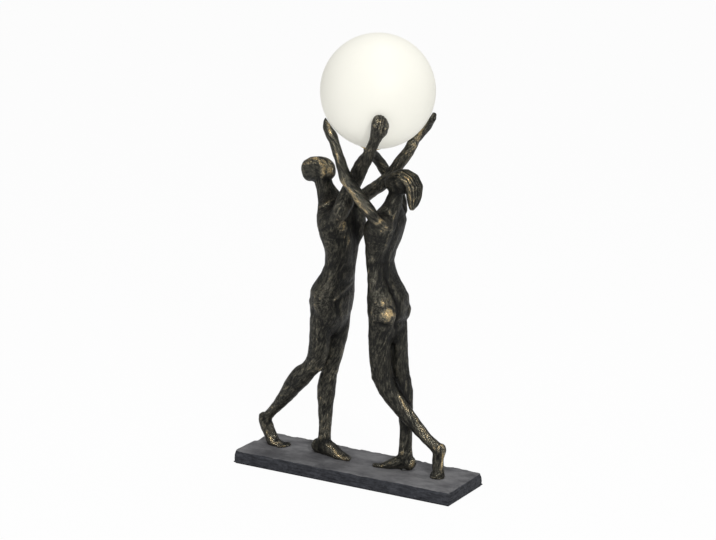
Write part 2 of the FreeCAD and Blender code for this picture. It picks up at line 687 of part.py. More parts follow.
def make_cover():
    """Steel plate in the recess, with four screws into the slab."""
    body = doc.addObject("PartDesign::Body", "wiring_cover")
    body.setExpression(".Placement.Base.z", "Sizes.felt_thickness + Sizes.cover_gap")
    outline = sketch_on(body, "cover_outline")
    draw_rectangle(outline, "Sizes.pocket_length + 2 * Sizes.cover_lip - 2 * Sizes.cover_gap",
                   "Sizes.pocket_width - 2 * Sizes.cover_gap", "Sizes.pocket_x", "Sizes.pocket_y")
    for x, y in COVER_SCREWS:
        draw_circle(outline, "Sizes.cover_screw_diameter + Sizes.cover_gap", x, y)
    pad(body, outline, "Sizes.cover_thickness")
    return body


def make_cover_screws():
    """Four pan-head screws, their heads within the felt's thickness."""
    screws = []
    for i, (x, y) in enumerate(COVER_SCREWS):
        head = primitive("Cylinder", f"cover_head_{i}", Radius="Sizes.cover_screw_diameter",
                         Height="Sizes.felt_thickness + Sizes.cover_gap - 0.5", at_x=x, at_y=y, at_z="0.5")
        shank = primitive("Cylinder", f"cover_shank_{i}", Radius="Sizes.cover_screw_diameter / 2 - 0.05",
                          Height="Sizes.cover_screw_length", at_x=x, at_y=y,
                          at_z="Sizes.felt_thickness + Sizes.cover_gap - 0.2")
        screws.append(fuse(f"cover_screw_{i}", head, shank))
    return group("cover_screws", *screws)


# ---------------------------------------------------------------- studs, washers and nuts

NUT_LEVEL = f"{ROOF_LEVEL} - Sizes.washer_thickness - Sizes.nut_height"
TUBE_NUT_LEVEL = f"{ROOF_LEVEL} - Sizes.washer_thickness - Sizes.tube_nut_height"
NUT_DROP = "(Sizes.washer_thickness + Sizes.nut_height + 1)"
TUBE_DROP = "(Sizes.washer_thickness + Sizes.tube_nut_height + 0.6)"


def at_place(place, z):
    """Placement expressions for a piece that stands at a place of the slab."""
    return {"at_x": str(place[0]), "at_y": str(place[1]), "at_z": z}


def washer(name, bore, place):
    """A flat washer against the roof of a counterbore."""
    z = f"{ROOF_LEVEL} - Sizes.washer_thickness"
    disc = primitive("Cylinder", name + "_disc", Radius="Sizes.washer_diameter / 2",
                     Height="Sizes.washer_thickness", **at_place(place, z))
    hole = primitive("Cylinder", name + "_hole", Radius=f"{bore} / 2 + Sizes.stud_clearance",
                     Height="Sizes.washer_thickness", **at_place(place, z))
    return cut(name, disc, hole)


def hex_nut(name, width, height, bore, place, z):
    """A hexagon nut on a thread."""
    body = primitive("Prism", name + "_hexagon", Circumradius=f"{width} / 2 / cos(30)", Height=height,
                     **at_place(place, z))
    hole = primitive("Cylinder", name + "_thread", Radius=f"{bore} / 2 + Sizes.fit_clearance", Height=height,
                     **at_place(place, z))
    return cut(name, body, hole)


def make_foot_fasteners():
    """Studs, washers and nuts of three feet."""
    studs, washers, nuts = [], [], []
    for foot, place in STUD_PLACES.items():
        studs.append(primitive("Cylinder", foot + "_stud", Radius="Sizes.stud_diameter / 2",
                               Height=f"Sizes.slab_roof + Sizes.stud_grip - 0.5 + {NUT_DROP}",
                               **at_place(place, f"{ROOF_LEVEL} - {NUT_DROP}")))
        washers.append(washer(foot + "_washer", "Sizes.stud_diameter", place))
        nuts.append(hex_nut(foot + "_nut", "Sizes.nut_width", "Sizes.nut_height", "Sizes.stud_diameter",
                            place, NUT_LEVEL))
    return [group("foot_studs", *studs), group("stud_washers", *washers), group("stud_nuts", *nuts)]


def make_hollow_stud():
    """Threaded tube in the standing foot, with its own washer and thin nut."""
    height = f"Sizes.slab_roof + Sizes.tube_grip - 0.5 + {TUBE_DROP}"
    spot = at_place(TUBE_PLACE, f"{ROOF_LEVEL} - {TUBE_DROP}")
    outer = primitive("Cylinder", "hollow_stud_outside", Radius="Sizes.tube_diameter / 2", Height=height, **spot)
    bore = primitive("Cylinder", "hollow_stud_bore", Radius="Sizes.tube_bore / 2", Height=height, **spot)
    return [
        cut("hollow_stud", outer, bore),
        washer("hollow_stud_washer", "Sizes.tube_diameter", TUBE_PLACE),
        hex_nut("hollow_stud_nut", "Sizes.tube_nut_width", "Sizes.tube_nut_height", "Sizes.tube_diameter",
                TUBE_PLACE, TUBE_NUT_LEVEL),
    ]


# ---------------------------------------------------------------- wiring pocket


def make_cord_bush():
    """Bush in the back edge, with a flange outside; the cord enters here."""
    y = "Sizes.base_width / 2"
    inner = "Sizes.pocket_y + Sizes.pocket_width / 2 - 2"
    barrel = primitive("Cylinder", "bush_barrel", Radius="Sizes.bush_diameter / 2 - Sizes.fit_clearance",
                       Height=f"{y} - ({inner})")
    flange = primitive("Cylinder", "bush_flange_disc", Radius="Sizes.bush_diameter / 2 + 2",
                       Height="Sizes.bush_flange", at_z=f"-(Sizes.bush_flange)")
    bore = primitive("Cylinder", "bush_hole", Radius="Sizes.bush_bore / 2",
                     Height=f"{y} - ({inner}) + Sizes.bush_flange", at_z="-(Sizes.bush_flange)")
    bush = cut("cord_bush", fuse("bush_outside", barrel, flange), bore)
    bush.Placement = Placement(Vector(size("pocket_x"), size("base_width") / 2, BASE_TOP / 2),
                               Rotation(Vector(1, 0, 0), 90))
    return bush


def make_cord_clamp():
    """Bar under the roof that holds the cord's sheath, with two screws."""
    body = doc.addObject("PartDesign::Body", "cord_clamp")
    body.setExpression(".Placement.Base.z", f"{ROOF_LEVEL} - Sizes.clamp_thickness")
    outline = sketch_on(body, "clamp_outline")
    draw_rectangle(outline, "Sizes.clamp_length", "Sizes.clamp_width", "Sizes.pocket_x", "Sizes.clamp_y")
    for side in (-1, 1):
        draw_circle(outline, "Sizes.clamp_screw_diameter + 0.2",
                    f"Sizes.pocket_x + {side} * Sizes.clamp_screw_pitch / 2", "Sizes.clamp_y")
    pad(body, outline, "Sizes.clamp_thickness")
    screws = []
    for i, side in enumerate((-1, 1)):
        x = f"Sizes.pocket_x + {side} * Sizes.clamp_screw_pitch / 2"
        head = primitive("Cylinder", f"clamp_head_{i}", Radius="Sizes.clamp_screw_diameter * 0.9", Height="1.8",
                         at_x=x, at_y="Sizes.clamp_y", at_z=f"{ROOF_LEVEL} - Sizes.clamp_thickness - 1.8")
        shank = primitive("Cylinder", f"clamp_shank_{i}", Radius="Sizes.clamp_screw_diameter / 2 - 0.05",
                          Height="Sizes.clamp_thickness + 2.5 + 0.5", at_x=x, at_y="Sizes.clamp_y",
                          at_z=f"{ROOF_LEVEL} - Sizes.clamp_thickness - 0.5")
        screws.append(fuse(f"clamp_screw_{i}", head, shank))
    return [body, group("clamp_screws", *screws)]


def make_terminal_block():
    """Two-pole block under the roof, with a screw for each pole from below."""
    body = doc.addObject("PartDesign::Body", "terminal_block")
    body.setExpression(".Placement.Base.z", f"{ROOF_LEVEL} - Sizes.terminal_height")
    outline = sketch_on(body, "terminal_outline")
    draw_rectangle(outline, "Sizes.terminal_length", "Sizes.terminal_width", "Sizes.terminal_x", "Sizes.terminal_y")
    pad(body, outline, "Sizes.terminal_height")
    wells = sketch_on(body, "screw_wells")
    places = [(f"Sizes.terminal_x + {side} * Sizes.terminal_pitch / 2", "Sizes.terminal_y") for side in (-1, 1)]
    for x, y in places:
        draw_circle(wells, "Sizes.terminal_screw_diameter + 0.6", x, y)
    pocket(body, wells, "Sizes.terminal_height - 2")
    screws = [
        primitive("Cylinder", f"terminal_screw_{i}", Radius="Sizes.terminal_screw_diameter / 2",
                  Height="Sizes.terminal_height - 3", at_x=x, at_y=y, at_z=f"{ROOF_LEVEL} - Sizes.terminal_height + 1")
        for i, (x, y) in enumerate(places)
    ]
    return [body, group("terminal_screws", *screws)]


# ---------------------------------------------------------------- fitting, globe and bulb


def place_fitting(item, level=0.0):
    """Moves a piece that was made on the Z axis onto the fitting's axis."""
    item.Placement = FITTING.multiply(Placement(Vector(0, 0, level), Rotation()))
    return item


def ring_piece(name, outer, bore, height):
    """A plain ring on the Z axis."""
    disc = primitive("Cylinder", name + "_disc", Radius=outer, Height=height)
    hole = primitive("Cylinder", name + "_hole", Radius=bore, Height=height)
    return cut(name, disc, hole)


def make_holder_mount():
    """Threaded tube, pressed cup, nut and gasket that carry the holder and the globe."""
    tube_low = PALM_LEVEL - size("holder_tube_grip") + 0.5
    tube_height = HOLDER_LEVEL + size("holder_thread") - tube_low
    tube = ring_piece("holder_tube", "Sizes.holder_tube_diameter / 2", "Sizes.holder_tube_bore / 2", str(tube_height))
    thread = "Sizes.holder_tube_diameter / 2 + Sizes.fit_clearance"
    cup = ring_piece("seat_cup", "Sizes.neck_bore / 2 + Sizes.rim_width + 0.6", thread, "Sizes.cup_thickness")
    nut = hex_nut("tube_nut", "Sizes.holder_nut_width", "Sizes.holder_nut_height", "Sizes.holder_tube_diameter",
                  (0, 0), "0")
    gasket = ring_piece("seat_gasket", "Sizes.neck_bore / 2 + Sizes.rim_width", "Sizes.neck_bore / 2 - 3.5",
                        "Sizes.gasket_thickness")
    return [
        place_fitting(tube, tube_low), place_fitting(cup, PALM_LEVEL), place_fitting(nut, GASKET_LEVEL),
        place_fitting(gasket, GASKET_LEVEL),
    ]


PIN_WELL = "(Sizes.pin_length + 5)"


def make_lampholder():
    """Ceramic holder with a threaded foot and two wells for the bulb's pins."""
    body = primitive("Cylinder", "holder_blank", Radius="Sizes.holder_diameter / 2", Height="Sizes.holder_height")
    foot = primitive("Cylinder", "holder_foot_thread", Radius="Sizes.holder_tube_diameter / 2 + Sizes.fit_clearance",
                     Height="Sizes.holder_thread")
    wells = [
        primitive("Box", f"pin_well_{i}", Length="Sizes.pin_loop_width + 2 * Sizes.pin_clearance",
                  Width="Sizes.pin_loop_width + 2 * Sizes.pin_clearance", Height=PIN_WELL,
                  at_x=f"{side} * Sizes.pin_spacing / 2 - Sizes.pin_loop_width / 2 - Sizes.pin_clearance",
                  at_y="-Sizes.pin_loop_width / 2 - Sizes.pin_clearance", at_z=f"Sizes.holder_height - {PIN_WELL}")
        for i, side in enumerate((-1, 1))
    ]
    contacts = [
        primitive("Box", f"contact_{i}", Length="Sizes.pin_loop_width", Width="Sizes.pin_loop_width", Height="4",
                  at_x=f"{side} * Sizes.pin_spacing / 2 - Sizes.pin_loop_width / 2",
                  at_y="-Sizes.pin_loop_width / 2", at_z=f"Sizes.holder_height - {PIN_WELL}")
        for i, side in enumerate((-1, 1))
    ]
    holder = cut("lampholder", body, foot, *wells)
    return [place_fitting(holder, HOLDER_LEVEL), place_fitting(group("holder_contacts", *contacts), HOLDER_LEVEL)]


CLIP_FINGERS = 3
CLIP_FINGER_ANGLE = 32


def make_globe_clip():
    """Spring ring round the holder; three bowed fingers press inside the globe's neck."""
    inside = size("holder_diameter") / 2 + size("fit_clearance")
    sheet_metal = size("clip_thickness")
    reach = size("neck_bore") / 2 - size("clip_gap")
    low, high = HOLDER_LEVEL + 1, HOLDER_LEVEL + 12
    bow = Part.Arc(Vector(inside + sheet_metal, 0, high), Vector(reach, 0, (low + high) / 2),
                   Vector(inside + sheet_metal, 0, low)).toShape()
    strip = Part.Face(Part.Wire([
        bow, Part.LineSegment(bow.lastVertex().Point, bow.lastVertex().Point - Vector(sheet_metal, 0, 0)).toShape(),
        Part.Arc(Vector(inside, 0, low), Vector(reach - sheet_metal, 0, (low + high) / 2),
                 Vector(inside, 0, high)).toShape(),
        Part.LineSegment(Vector(inside, 0, high), bow.firstVertex().Point).toShape(),
    ]))
    band = Part.makeCylinder(inside + sheet_metal, 4, Vector(0, 0, high)).cut(
        Part.makeCylinder(inside, 4, Vector(0, 0, high)))
    fingers = []
    for k in range(CLIP_FINGERS):
        finger = strip.revolve(Vector(), Vector(0, 0, 1), CLIP_FINGER_ANGLE)
        finger.rotate(Vector(), Vector(0, 0, 1), 360 * k / CLIP_FINGERS)
        fingers.append(finger)
    return feature("globe_clip", band.fuse(fingers), FITTING)


def make_globe():
    """Opal ball with one bore and a ground rim."""
    outer = primitive("Sphere", "globe_outside", Radius="Sizes.globe_diameter / 2")
    inner = primitive("Sphere", "globe_inside", Radius="Sizes.globe_diameter / 2 - Sizes.globe_wall")
    bore = primitive("Cylinder", "globe_bore", Radius="Sizes.neck_bore / 2", Height="Sizes.globe_diameter / 2",
                     at_z="-Sizes.globe_diameter / 2")
    ground = primitive("Cylinder", "ground_rim", Radius="Sizes.neck_bore", Height=str(10),
                       at_z=str(RIM_LEVEL - 10))
    return place_fitting(cut("glass_globe", outer, inner, bore, ground))


def make_bulb():
    """Capsule bulb: base, envelope with a round end, and two wire loops as pins."""
    base = primitive("Cylinder", "bulb_base", Radius="Sizes.bulb_base_diameter / 2", Height="Sizes.bulb_base_height")
    straight = "Sizes.bulb_length - Sizes.bulb_base_height - Sizes.bulb_diameter / 2"
    tube = primitive("Cylinder", "envelope_tube", Radius="Sizes.bulb_diameter / 2", Height=straight)
    dome = primitive("Sphere", "envelope_dome", Radius="Sizes.bulb_diameter / 2", at_z=straight)
    envelope = fuse("bulb_envelope", tube, dome)
    gap = size("seat_gap")
    loops = []
    for side in (-1, 1):
        middle = Vector(side * size("pin_spacing") / 2, 0, BULB_LEVEL + gap)
        half = (size("pin_loop_width") - size("pin_wire")) / 2
        reach = Vector(0, 0, size("pin_length") - half - size("pin_wire") / 2)
        left, right = middle + Vector(0, -half, 0), middle + Vector(0, half, 0)
        path = Part.Wire([
            Part.LineSegment(left, left - reach).toShape(),
            Part.Arc(left - reach, middle - reach - Vector(0, 0, half), right - reach).toShape(),
            Part.LineSegment(right - reach, right).toShape(),
        ])
        loops.append(tube_along(path, size("pin_wire")))
    pins = feature("bulb_pins", Part.Compound(loops), FITTING)
    return [
        place_fitting(base, BULB_LEVEL + gap),
        place_fitting(envelope, BULB_LEVEL + gap + size("bulb_base_height")),
        pins,
    ]


# ---------------------------------------------------------------- the whole lamp

NODES = [
    make_slab(), make_felt(), make_cover(), make_cover_screws(),
    *make_left_figure(), *make_right_figure(), *make_dowels(), make_lead(),
    *make_foot_fasteners(), *make_hollow_stud(),
    make_cord_bush(), *make_cord_clamp(), *make_terminal_block(),
    *make_holder_mount(), *make_lampholder(), make_globe_clip(), make_globe(), *make_bulb(),
]
doc.recompute()

for item in doc.Objects:
    if "Invalid" in item.State or "Error" in item.State:
        raise ValueError(f"{item.Name} failed: {item.State}")
for item in NODES:
    item.Label = item.Name
    if item.Shape.isNull() or not item.Shape.isValid():
        raise ValueError(f"{item.Label} has no valid shape")
    if item.Label.startswith("figure") and len(item.Shape.Solids) != 1:
        raise ValueError(f"{item.Label} is not one casting")

os.makedirs("parts", exist_ok=True)
for item in NODES:
    item.Shape.exportStep(f"parts/{item.Label}.step")
    print(f"{item.Label}: {len(item.Shape.Solids)} solids, {item.Shape.Volume:.0f} mm3")
print("lead", LEAD_WIRE.Length, "fitting axis", FITTING_AXIS)
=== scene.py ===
# %% [markdown]
# # Table lamp with two striding figures
#
# Two cast figures with a dark, rubbed bronze finish stand on a slate slab and hold up an opal glass globe.
# Everything is in metres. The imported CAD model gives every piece's place; this script gives it its looks.
# The castings are the main work: they were modelled in clay by hand, so their skin is full of strokes,
# grooves and soft lumps, and the bronze finish is rubbed off on every high place.

import bpy
import bmesh
import json
import math
import numpy as np
from mathutils import Matrix, Vector, noise


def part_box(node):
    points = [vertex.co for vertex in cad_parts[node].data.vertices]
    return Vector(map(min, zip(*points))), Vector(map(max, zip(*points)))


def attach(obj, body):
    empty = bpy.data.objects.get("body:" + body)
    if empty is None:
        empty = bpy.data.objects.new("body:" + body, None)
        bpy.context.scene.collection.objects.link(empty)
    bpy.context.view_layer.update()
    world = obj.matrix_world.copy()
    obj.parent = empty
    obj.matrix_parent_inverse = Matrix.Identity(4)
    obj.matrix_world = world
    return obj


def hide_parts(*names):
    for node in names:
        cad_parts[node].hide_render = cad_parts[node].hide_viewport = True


SEED = 7    # noise_vector draws its offsets from this, and would otherwise take them from the clock
noise.seed_set(SEED)
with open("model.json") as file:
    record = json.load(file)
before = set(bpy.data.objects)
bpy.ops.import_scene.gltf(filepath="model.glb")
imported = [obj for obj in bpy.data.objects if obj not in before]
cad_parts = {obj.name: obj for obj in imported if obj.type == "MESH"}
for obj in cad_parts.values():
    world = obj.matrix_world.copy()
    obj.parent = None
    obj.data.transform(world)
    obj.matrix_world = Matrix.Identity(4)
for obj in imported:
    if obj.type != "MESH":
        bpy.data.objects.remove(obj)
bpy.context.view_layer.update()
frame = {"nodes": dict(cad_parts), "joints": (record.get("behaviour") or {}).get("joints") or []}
NODES = frame["nodes"]
MM = 0.001
BASE_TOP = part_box("base_slab")[1].z

# %% [markdown]
# ## Shader maths in Python
#
# A procedural finish is a small graph of nodes. Wiring it link by link hides what it means, so one class
# wraps a socket and lets masks be written as sums and products. Anything that isn't plain maths comes from
# `node`, which takes a node's type, its settings, and the values or links of its sockets.

# %% A socket that can be used in sums


class Shade:
    """One socket of the graph that is being built."""

    tree = None

    def __init__(self, socket):
        self.socket = socket

    @classmethod
    def node(cls, kind, settings=None, output=0, **sockets):
        made = cls.tree.nodes.new("ShaderNode" + kind)
        for name, value in (settings or {}).items():
            setattr(made, name, value)
        for name, value in sockets.items():
            key = int(name[1:]) if name[0] == "_" else name.replace("_", " ")
            target = made.inputs[key]
            if isinstance(value, Shade):
                cls.tree.links.new(value.socket, target)
            else:
                target.default_value = value
        return cls(made.outputs[output] if made.outputs else None)

    def maths(self, operation, a, b):
        return Shade.node("Math", {"operation": operation}, _0=a, _1=b)

    def __add__(self, other):
        return self.maths("ADD", self, other)

    def __sub__(self, other):
        return self.maths("SUBTRACT", self, other)

    def __rsub__(self, other):
        return self.maths("SUBTRACT", other, self)

    def __mul__(self, other):
        return self.maths("MULTIPLY", self, other)

    __radd__ = __add__

    def clamp(self, low, high):
        """Spreads the range from low to high over 0 to 1."""
        return Shade.node("MapRange", {"clamp": True, "interpolation_type": "SMOOTHSTEP"},
                          Value=self, From_Min=low, From_Max=high)


def mix(share, first, second):
    """A colour between two, given as colours or links."""
    pair = [value if isinstance(value, Shade) else (*value, 1) for value in (first, second)]
    return Shade.node("Mix", {"data_type": "RGBA", "clamp_factor": True}, 2, _0=share, _6=pair[0], _7=pair[1])


def stretched(scale):
    """Object coordinates in units of 1 / scale metres along each axis."""
    spot = Shade.node("TexCoord", output=3)
    return Shade.node("Mapping", Vector=spot, Scale=scale)


def grain(place, scale, detail=4.0, roughness=0.55):
    """Smooth noise from 0 to 1."""
    return Shade.node("TexNoise", Vector=place, Scale=scale, Detail=detail, Roughness=roughness)


def finish_of(name, build):
    """A material; `build` returns the sockets of its Principled shader."""
    material = bpy.data.materials.new(name)
    material.use_nodes = True
    tree = material.node_tree
    Shade.tree = tree
    shader = tree.nodes["Principled BSDF"]
    for key, value in build().items():
        if isinstance(value, Shade):
            tree.links.new(value.socket, shader.inputs[key])
        else:
            shader.inputs[key].default_value = value
    print(name, len(tree.nodes), "nodes")
    return material


def bumped(height, depth, strength=1.0):
    """A normal from a height map, with its depth in metres."""
    return Shade.node("Bump", Height=height, Distance=depth, Strength=strength)


# %% [markdown]
# ## Bronze finish
#
# The castings are dyed almost black, and then the high places are rubbed until a golden bronze shows. The
# wear and the run of the tool strokes belong to the surface, so each casting carries two attributes that are
# worked out on its points further down: one holds how much it is worn, and also painted shade in its large
# hollows and painted highlights on a few places; `flow` is a place that moves fast across the limb and slowly
# along it. The material reads them, breaks the wear and painted light up with fine noise, and goes from near
# black through dull grey brown to gold. The finest strokes are bump.

# %% Bronze
# the dye in the hollows, deepened there by painted shade, the half-rubbed skin, and the polished high places,
# some with painted highlights
DARK = (0.0045, 0.0045, 0.0035)
DULL = (0.185, 0.176, 0.142)
GOLD = (0.72, 0.54, 0.28)


def bronze():
    wear_and_painted_light = Shade.node("Attribute", {"attribute_name": "wear_and_light"}, 2)
    flow = Shade.node("Attribute", {"attribute_name": "flow"}, 1)
    hairlines = grain(flow, 560, 4, 0.7)
    mottle = grain(flow, 260, 5, 0.75)
    specks = grain(stretched((1, 1, 1)), 1000, 3, 0.65)
    broken = wear_and_painted_light + (hairlines - 0.5) * 2.1 + (mottle - 0.5) * 2.0 + (specks - 0.5) * 0.9
    colour = mix(broken.clamp(0.22, 1.30), DARK, DULL)
    colour = mix(broken.clamp(0.90, 1.75), colour, GOLD)
    return {
        "Base Color": colour,
        "Metallic": 0.15 + broken.clamp(0.1, 0.9) * 0.8,
        "Roughness": 0.37 - broken.clamp(0.2, 1.2) * 0.12 + (specks - 0.5) * 0.2,
        "Normal": bumped(hairlines * 0.7 + mottle * 0.6 + specks * 0.3, 0.0018, 0.9),
        "Specular IOR Level": 0.3,
    }


BRONZE = finish_of("rubbed_bronze_and_painted_light", bronze)

# %% [markdown]
# ## Slate, glass and small parts
#
# Slate splits in thin layers: its top shows faint cloudy patches and fine grit, its broken edges show the
# layers as lines. The globe is opal glass, milky all through, and looks evenly ivory because it scatters
# the light that enters it. A low even emission stands for that scattered light.

# %% Slate


def slate():
    clouds = grain(stretched((1, 1.7, 1)), 24, 6, 0.65)
    grit = grain(stretched((1, 1, 1)), 850, 3, 0.7)
    layers = grain(stretched((0.10, 0.10, 1)), 420, 5, 0.7)
    shells = grain(stretched((1, 1, 1.6)), 130, 5, 0.7)
    scrape = grain(stretched((0.22, 1, 1)), 150, 4, 0.65)
    up = Shade.node("SeparateXYZ", output=2, Vector=Shade.node("NewGeometry", output=1)).clamp(0.35, 0.85)
    top = mix(clouds.clamp(0.3, 0.72), (0.098, 0.098, 0.105), (0.260, 0.258, 0.264))
    split = layers * 0.55 + shells * 0.45
    side = mix(split.clamp(0.36, 0.66), (0.011, 0.012, 0.016), (0.062, 0.065, 0.077))
    colour = mix(up, side, top)
    colour = mix((grit + scrape * 0.4).clamp(0.82, 1.0) * 0.4, colour, (0.26, 0.26, 0.27))
    return {
        "Base Color": colour,
        "Roughness": 0.64 + (clouds - 0.5) * 0.25,
        "Normal": bumped(grit * 0.3 + split * (1 - up) * 1.8 + scrape * up * 0.7 + clouds * 0.5, 0.0011, 0.8),
        "Specular IOR Level": 0.3,
    }


SLATE = finish_of("dark_slate", slate)

# %% Opal glass


def opal():
    cloud = grain(stretched((1, 1, 1)), 9, 2, 0.5)
    return {
        "Base Color": mix(cloud, (0.675, 0.665, 0.60), (0.70, 0.69, 0.63)),
        "Roughness": 0.5,
        "Specular IOR Level": 0.3,
        "Emission Color": (1.0, 0.985, 0.89, 1),
        "Emission Strength": 0.33,
    }


OPAL = finish_of("opal_glass", opal)

# %% Small parts


def plain(colour, metallic, roughness, scale=700, depth=0.00008):
    """A finish with fine grain, for the small parts."""
    def build():
        fine = grain(stretched((1, 1, 0.3)), scale, 3)
        shade = tuple(channel * 0.82 for channel in colour)
        return {
            "Base Color": mix(fine, shade, colour), "Metallic": metallic,
            "Roughness": roughness + (fine - 0.5) * 0.12, "Normal": bumped(fine, depth, 0.6),
        }
    return build


def clear_glass():
    return {"Base Color": (0.98, 0.98, 0.96, 1), "Roughness": 0.03, "Transmission Weight": 1.0, "IOR": 1.46}


FINISHES = {
    "black_felt": (plain((0.018, 0.018, 0.018), 0, 0.95, 1500, 0.0006), ["felt_pad"]),
    "zinc_steel": (plain((0.52, 0.52, 0.50), 1, 0.38), [
        "wiring_cover", "cover_screws", "shoulder_dowels", "hollow_dowel", "foot_studs", "stud_washers",
        "stud_nuts", "hollow_stud", "hollow_stud_washer", "hollow_stud_nut", "clamp_screws",
        "terminal_screws", "globe_clip", "bulb_pins"]),
    "lead_sheath": (plain((0.80, 0.80, 0.77), 0, 0.45), ["internal_lead"]),
    "bush_rubber": (plain((0.025, 0.025, 0.025), 0, 0.6), ["cord_bush"]),
    "terminal_plastic": (plain((0.76, 0.75, 0.70), 0, 0.4), ["cord_clamp", "terminal_block"]),
    "turned_brass": (plain((0.72, 0.53, 0.22), 1, 0.3), [
        "holder_tube", "seat_cup", "tube_nut", "holder_contacts"]),
    "gasket_silicone": (plain((0.80, 0.80, 0.77), 0, 0.5), ["seat_gasket"]),
    "steatite": (plain((0.82, 0.80, 0.74), 0, 0.55), ["lampholder", "bulb_base"]),
    "bulb_glass": (clear_glass, ["bulb_envelope"]),
}
for finish_name, (build, nodes) in FINISHES.items():
    material = finish_of(finish_name, build)
    for node in nodes:
        NODES[node].data.materials.clear()
        NODES[node].data.materials.append(material)

# %% [markdown]
# ## From casting to clay form
#
# The CAD castings have the right places, proportions and bores, but they are faceted. A figure's body and
# arms are copied, soft lumps such as knee caps, ankle bones, toes and shoulder blades are pushed into them
# as spheres, and a voxel remesh melts all of it into one even skin, as a thumb does with clay. That closes
# the shoulder joints too, which are filled and chased on the real figures. Smoothing takes the facets out.

# %% Lumps melted into a skin
FORM_VOXEL = 1.3    # mm, while the forms are put together
SKIN_VOXEL = 1.15    # mm, for the finished skins
EVEN_PASSES = 26    # they take the facets out
DOUBLES = 2e-6    # points closer than that are one, in metres


def in_metres(path):
    """A path of x, y, height over the slab in mm, in the frame's metres."""
    return [np.array((x * MM, y * MM, height * MM + BASE_TOP)) for x, y, height in path]


def lump(bm, centre, radii):
    """A soft lump: centre and radii in mm."""
    place = Matrix.Translation(Vector(in_metres([centre])[0]))
    scale = Matrix.Diagonal((*(radius * MM for radius in radii), 1))
    bmesh.ops.create_icosphere(bm, subdivisions=3, radius=1, matrix=place @ scale)


def melted(name, meshes, lumps, voxel, smoothing):
    """Copies of meshes with lumps added, remeshed into one skin and smoothed a little."""
    bm = bmesh.new()
    for source in meshes:
        bm.from_mesh(source)
    bmesh.ops.remove_doubles(bm, verts=bm.verts, dist=DOUBLES)
    for centre, radii in lumps:
        lump(bm, centre, radii)
    mesh = bpy.data.meshes.new(name)
    bm.to_mesh(mesh)
    bm.free()
    rough = bpy.data.objects.new(name, mesh)
    bpy.context.collection.objects.link(rough)
    remesh = rough.modifiers.new("melt", "REMESH")
    remesh.mode, remesh.voxel_size = "VOXEL", voxel * MM
    smooth = rough.modifiers.new("thumb", "SMOOTH")
    smooth.factor, smooth.iterations = 0.5, smoothing
    bpy.context.view_layer.update()
    skin = bpy.data.meshes.new_from_object(rough.evaluated_get(bpy.context.evaluated_depsgraph_get()))
    bpy.data.objects.remove(rough)
    skin.name = name
    skin.shade_smooth()
    print(name, len(skin.polygons), "faces")
    return skin


# %% [markdown]
# ## Grooves and strokes
#
# Carved lines such as the spine, the fingers and the hair are pressed into the skin along short paths. The
# clay's tool strokes run along each limb, so noise is read in a place that follows the limb's bones. Across
# the limb it moves as the skin does, along the limb only about a third as fast, which draws the noise out
# into strokes. Where two limbs meet, the strokes of both are mixed by distance, so that no seam shows.

# %% Carving along paths


def points_of(mesh):
    """Places and normals of all points, as arrays."""
    count = len(mesh.vertices)
    places, normals = np.empty(count * 3, "f"), np.empty(count * 3, "f")
    mesh.vertices.foreach_get("co", places)
    mesh.vertex_normals.foreach_get("vector", normals)
    return places.reshape(-1, 3), normals.reshape(-1, 3)


def move_points(mesh, places):
    mesh.vertices.foreach_set("co", places.astype("f").ravel())
    mesh.update()


def off_path(places, path):
    """For every point: its distance from the path, how far along that is, and the way from the path to it."""
    points = in_metres(path if len(path) > 1 else path * 2)
    distance, along = np.full(len(places), 9.0), np.zeros(len(places))
    offset = np.zeros_like(places)
    passed = 0.0
    for start, end in zip(points, points[1:]):
        run = end - start
        length = float(np.linalg.norm(run))
        share = np.clip((places - start) @ run / max(length**2, 1e-12), 0, 1)
        away = places - start - share[:, None] * run
        far = np.linalg.norm(away, axis=1)
        nearer = far < distance
        distance[nearer] = far[nearer]
        along[nearer] = (passed + share * length)[nearer]
        offset[nearer] = away[nearer]
        passed += length
    return distance, along, offset


def groove(mesh, path, width, depth):
    """Presses a groove along a path; a negative depth raises a ridge."""
    places, normals = points_of(mesh)
    near = off_path(places, path)[0] / (width * MM)
    move_points(mesh, places - normals * (depth * MM * np.exp(-near**2))[:, None])


# %% Thumb work


def links_of(mesh):
    """The two ends of every edge."""
    pairs = np.empty(len(mesh.edges) * 2, "i")
    mesh.edges.foreach_get("vertices", pairs)
    return pairs.reshape(-1, 2)


def relaxed(places, pairs, steps, pull=0.5):
    """The points after some steps towards the middle of their neighbours; a negative pull swells them."""
    ends = np.concatenate((pairs[:, 0], pairs[:, 1]))
    others = np.concatenate((pairs[:, 1], pairs[:, 0]))
    number = np.bincount(ends, minlength=len(places))
    for _ in range(steps):
        sums = [np.bincount(ends, weights=places[others, axis], minlength=len(places)) for axis in range(3)]
        places = places + (np.stack(sums, 1) / number[:, None] - places) * pull
    return places


SWELL = -0.52    # a little more than it shrank, so that the form keeps its size


def smoothed(mesh, passes):
    """Smooths facets and seams away. Each pass shrinks the form a little and swells it back."""
    places, pairs = points_of(mesh)[0].astype("d"), links_of(mesh)
    for _ in range(passes):
        places = relaxed(relaxed(places, pairs, 1), pairs, 1, SWELL)
    move_points(mesh, places)


def soften(mesh, path, reach, steps):
    """Strokes the skin smooth along a path."""
    places = points_of(mesh)[0].astype("d")
    share = np.exp(-(off_path(places, path)[0] / (reach * MM))**2)[:, None]
    move_points(mesh, places + (relaxed(places, links_of(mesh), steps) - places) * share)


# %% Strokes along the bones
COMPRESSED = 0.36    # along the limb, against 1 across it
BLEND = 4 * MM    # over which two limbs' strokes are mixed
CRESTS, FINE, SOFT, DABS = 125, 300, 52, 115    # the noises' scales, in 1 / metres
CALM_REACH = 20 * MM


